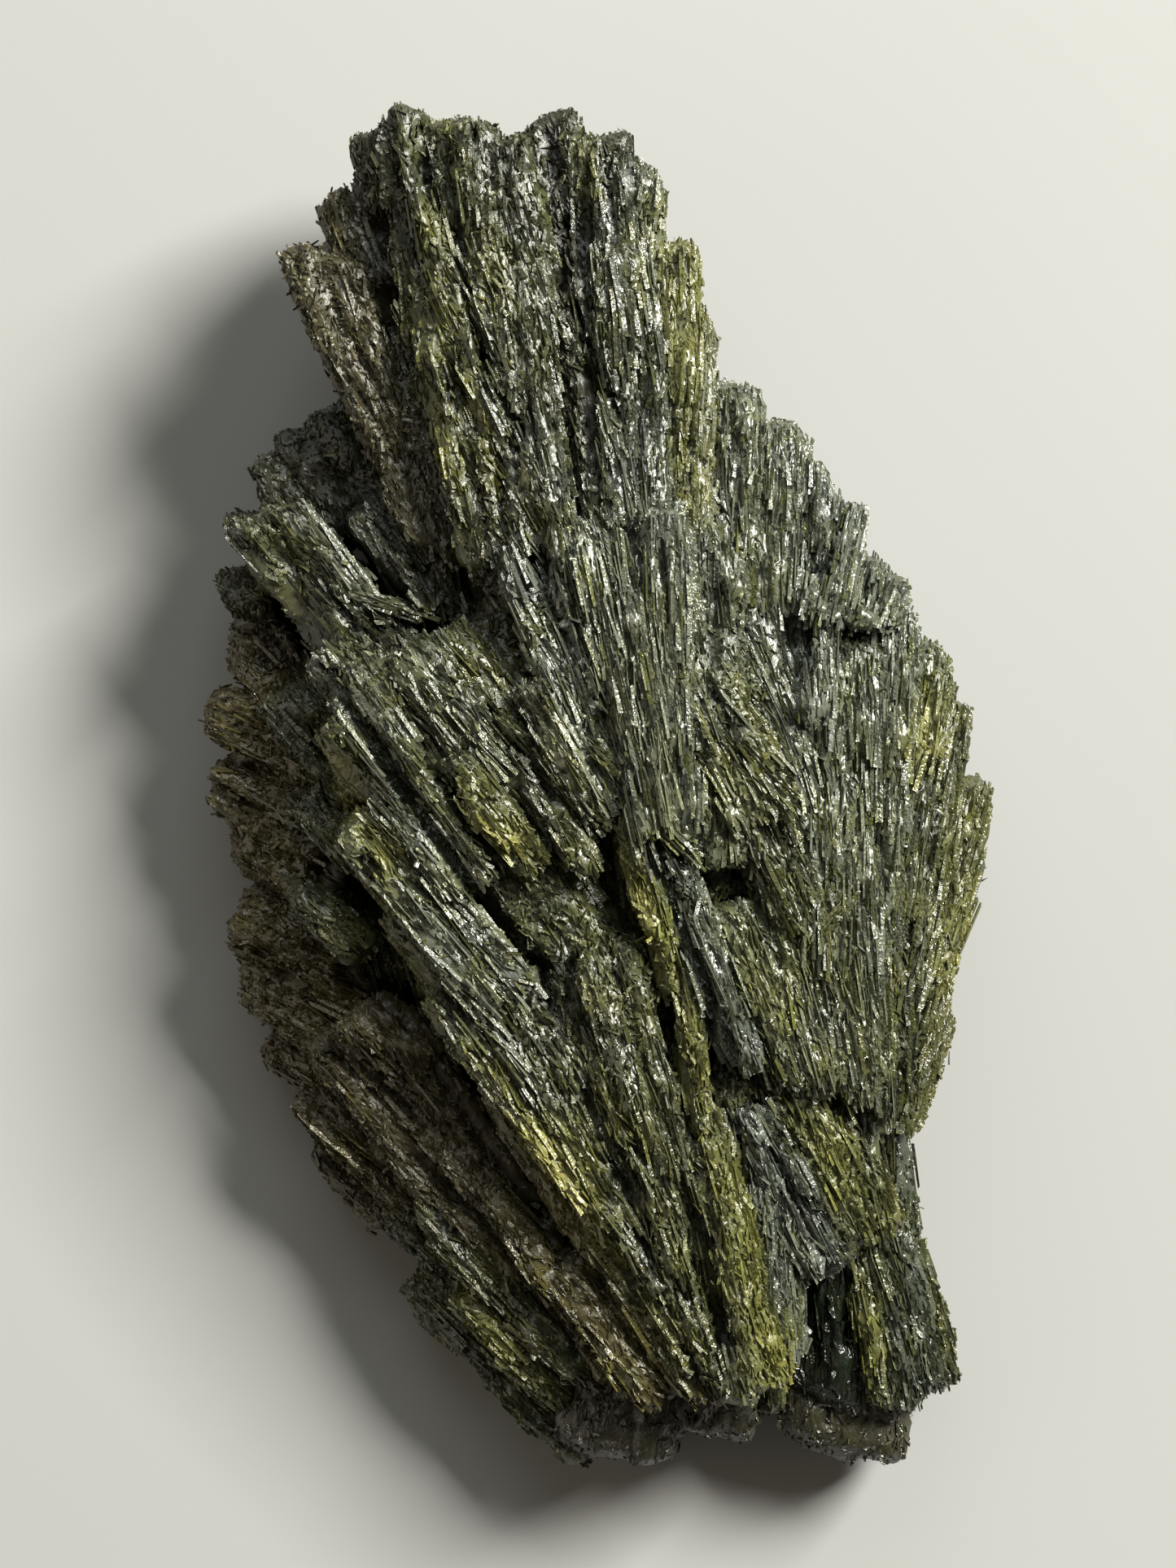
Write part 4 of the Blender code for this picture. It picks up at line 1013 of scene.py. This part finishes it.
# The painted sheen: a grey-green painted reflection of the window mixed into the colour, and its
# most share
SHEEN_COLOUR = (0.142, 0.154, 0.138, 1)
SHEEN_SHARE = 0.42
CRYSTAL_IOR = 1.60

# The clouds' scale to a metre, how far clouds and streaks move the tint, and a streak's roughness
CLOUD_SCALE = 650
CLOUD_SWAY = 0.5
STREAK_SWAY = 0.3
STREAK_ROUGH = 0.16

# A finish: the detail of its clouds and of the rest, the scale of its streaks and ripples, what
# a needle's ridge adds to the tint, as painted light on the ridge against painted shade at its
# feet, its roughness, what gloss takes off that, and its bump, in metres deep
Finish = namedtuple("Finish", "name clouds detail streaks ripples ridge rough polish bump depth")
CRUST_FINISH = Finish("epidote_crust", clouds=4, detail=3, streaks=(7, 1.2, 7),
                      ripples=(6.5, 2.4, 6.5), ridge=0, rough=0.42, polish=0.26,
                      bump=0.9, depth=0.00012)
NEEDLE_FINISH = Finish("epidote_crystals", clouds=3, detail=2, streaks=(26, 1.6, 0),
                       ripples=(14, 6, 0), ridge=0.08, rough=0.44, polish=0.32,
                       bump=1.0, depth=0.00010)


def tint_ramp(nodes, tint):
    """Add the ramp from black-green to yellow-green, and return its output."""
    ramp = nodes.add("ShaderNodeValToRGB")
    stops = ramp.color_ramp.elements
    while len(stops) > 1:
        stops.remove(stops[-1])
    for index, (place, colour) in enumerate(TINT_STOPS):
        stop = stops[0] if index == 0 else stops.new(place)
        stop.position = place
        stop.color = (*colour, 1)
    nodes.link(tint, ramp.inputs[0])
    return ramp.outputs[0]


def new_material(name):
    """Make a material, and return it with its nodes and its shader."""
    material = bpy.data.materials.new(name)
    nodes = Nodes(material)
    output = nodes.add("ShaderNodeOutputMaterial")
    shader = nodes.add("ShaderNodeBsdfPrincipled")
    nodes.link(shader.outputs[0], output.inputs[0])
    return material, nodes, shader


def crystal_material(finish):
    """Make a glassy, striated finish that follows the looks on the points, with painted sheen mixed
    into its colour.
    """
    material, nodes, shader = new_material(finish.name)
    look = nodes.add("ShaderNodeAttribute", attribute_name="look")
    split = nodes.add("ShaderNodeSeparateColor")
    nodes.link(look.outputs["Color"], split.inputs[0])
    tint, brown, gloss = split.outputs
    silver = nodes.math('MULTIPLY', look.outputs["Alpha"], SHEEN_SHARE)
    place = nodes.add("ShaderNodeTexCoord").outputs["Object"]
    grain = nodes.add("ShaderNodeAttribute", attribute_name="grain").outputs["Vector"]
    clouds = nodes.noise(place, CLOUD_SCALE, finish.clouds)
    streaks = nodes.noise(nodes.stretched(grain, finish.streaks), 1, finish.detail)
    ripples = nodes.noise(nodes.stretched(grain, finish.ripples), 1, finish.detail)

    for noise, sway in ((clouds, CLOUD_SWAY), (streaks, STREAK_SWAY)):
        tint = nodes.math('ADD', tint, nodes.math('MULTIPLY_ADD', noise, sway, -sway / 2))
    # Lighter along each needle's ridge, darker at its feet in the crust: painted shade
    if finish.ridge:
        parts = nodes.add("ShaderNodeSeparateXYZ")
        nodes.link(grain, parts.inputs[0])
        tint = nodes.math('MULTIPLY_ADD', parts.outputs[2], finish.ridge, tint)
    browned = nodes.mixed(brown, tint_ramp(nodes, tint), BROWN_COLOUR)
    # Mix in the painted sheen, a painted reflection of the window
    nodes.link(nodes.mixed(silver, browned, SHEEN_COLOUR), shader.inputs["Base Color"])

    rough = nodes.math('MULTIPLY_ADD', gloss, -finish.polish, finish.rough)
    rough = nodes.math('MULTIPLY_ADD', streaks, STREAK_ROUGH, rough)
    nodes.link(rough, shader.inputs["Roughness"])
    shader.inputs["IOR"].default_value = CRYSTAL_IOR
    bump = nodes.add("ShaderNodeBump")
    bump.inputs["Strength"].default_value = finish.bump
    bump.inputs["Distance"].default_value = finish.depth
    nodes.link(ripples, bump.inputs["Height"])
    nodes.link(bump.outputs[0], shader.inputs["Normal"])
    return material


# A hair's breadth, so that the floor and the flat break don't share one plane
FLOOR_GAP = 0.00002
FLOOR_HALF = 1.5
FLOOR_COLOUR = (0.230, 0.233, 0.226, 1)
FLOOR_ROUGHNESS = 0.9


def make_floor():
    """Lay a plain floor of warm white paper under the cluster."""
    material, _, shader = new_material("paper")
    shader.inputs["Base Color"].default_value = FLOOR_COLOUR
    shader.inputs["Roughness"].default_value = FLOOR_ROUGHNESS
    mesh = bpy.data.meshes.new("floor")
    corners = [(x * FLOOR_HALF, y * FLOOR_HALF, -FLOOR_GAP)
               for x, y in ((-1, -1), (1, -1), (1, 1), (-1, 1))]
    mesh.from_pydata(corners, [], [(0, 1, 2, 3)])
    mesh.materials.append(material)
    add_object("floor", mesh)


# A lamp: its name, place and two sides in metres, its power in watts and its colour
LAMPS = (
    ("window", (0.30, 0.24, 0.36), (0.19, 0.19), 10.6, (1, 0.975, 0.91)),
    ("room_wall", (-0.34, -0.06, 0.20), (0.30, 0.30), 0.4, (1, 0.88, 0.74)),
    ("sky", (-0.06, 0.42, 0.40), (0.40, 0.30), 1.3, (0.9, 0.96, 0.98)),
)
ROOM_COLOUR = (1, 0.93, 0.72, 1)
ROOM_STRENGTH = 0.12


def make_lights():
    """Light the cluster from a soft window at the upper right, with sky and wall to fill."""
    for name, place, size, watts, colour in LAMPS:
        light = bpy.data.lights.new(name, 'AREA')
        light.shape = 'RECTANGLE'
        light.size, light.size_y = size
        light.energy = watts
        light.color = colour
        lamp = add_object(name, light)
        lamp.location = place
        lamp.rotation_euler = (-Vector(place)).to_track_quat('-Z', 'Y').to_euler()
    world = bpy.data.worlds.new("room")
    bpy.context.scene.world = world
    world.use_nodes = True
    background = world.node_tree.nodes["Background"]
    background.inputs["Color"].default_value = ROOM_COLOUR
    background.inputs["Strength"].default_value = ROOM_STRENGTH
    bpy.context.scene.view_settings.view_transform = 'Standard'


# The photograph's framing: 31 pixels of its 1927 rows to a millimetre, ten millimetres up
CAMERA_HEIGHT = 0.210
SHARP_HEIGHT = 0.010
NEAREST_SEEN = 0.01
PHOTO_ROWS = 1927
PIXELS_PER_MM = 31
LOOKS_AT = (-0.306, 0.403)
SENSOR = 24.0


def make_camera():
    """Look straight down on the cluster, framed as in the photograph."""
    camera = bpy.data.cameras.new("camera")
    camera.sensor_fit = 'VERTICAL'
    camera.sensor_height = SENSOR
    seen = PHOTO_ROWS / PIXELS_PER_MM * MM
    camera.lens = SENSOR * (CAMERA_HEIGHT - SHARP_HEIGHT) / seen
    camera.clip_start = NEAREST_SEEN
    eye = add_object("camera", camera)
    eye.location = ((LOOKS_AT[0] - CENTRE_X) * MM, (LOOKS_AT[1] - CENTRE_Y) * MM, CAMERA_HEIGHT)
    bpy.context.scene.camera = eye


def make_cluster():
    """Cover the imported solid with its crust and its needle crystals."""
    layout = random.Random(SEED)
    blades = [blade for row in SHEAF_ROWS for blade in split_sheaf(sheaf_of(*row), layout)]
    surface = make_crust(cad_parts[NODE], blades, crystal_material(CRUST_FINISH))
    make_needles(surface, crystal_material(NEEDLE_FINISH))


make_cluster()
make_floor()
make_lights()
make_camera()
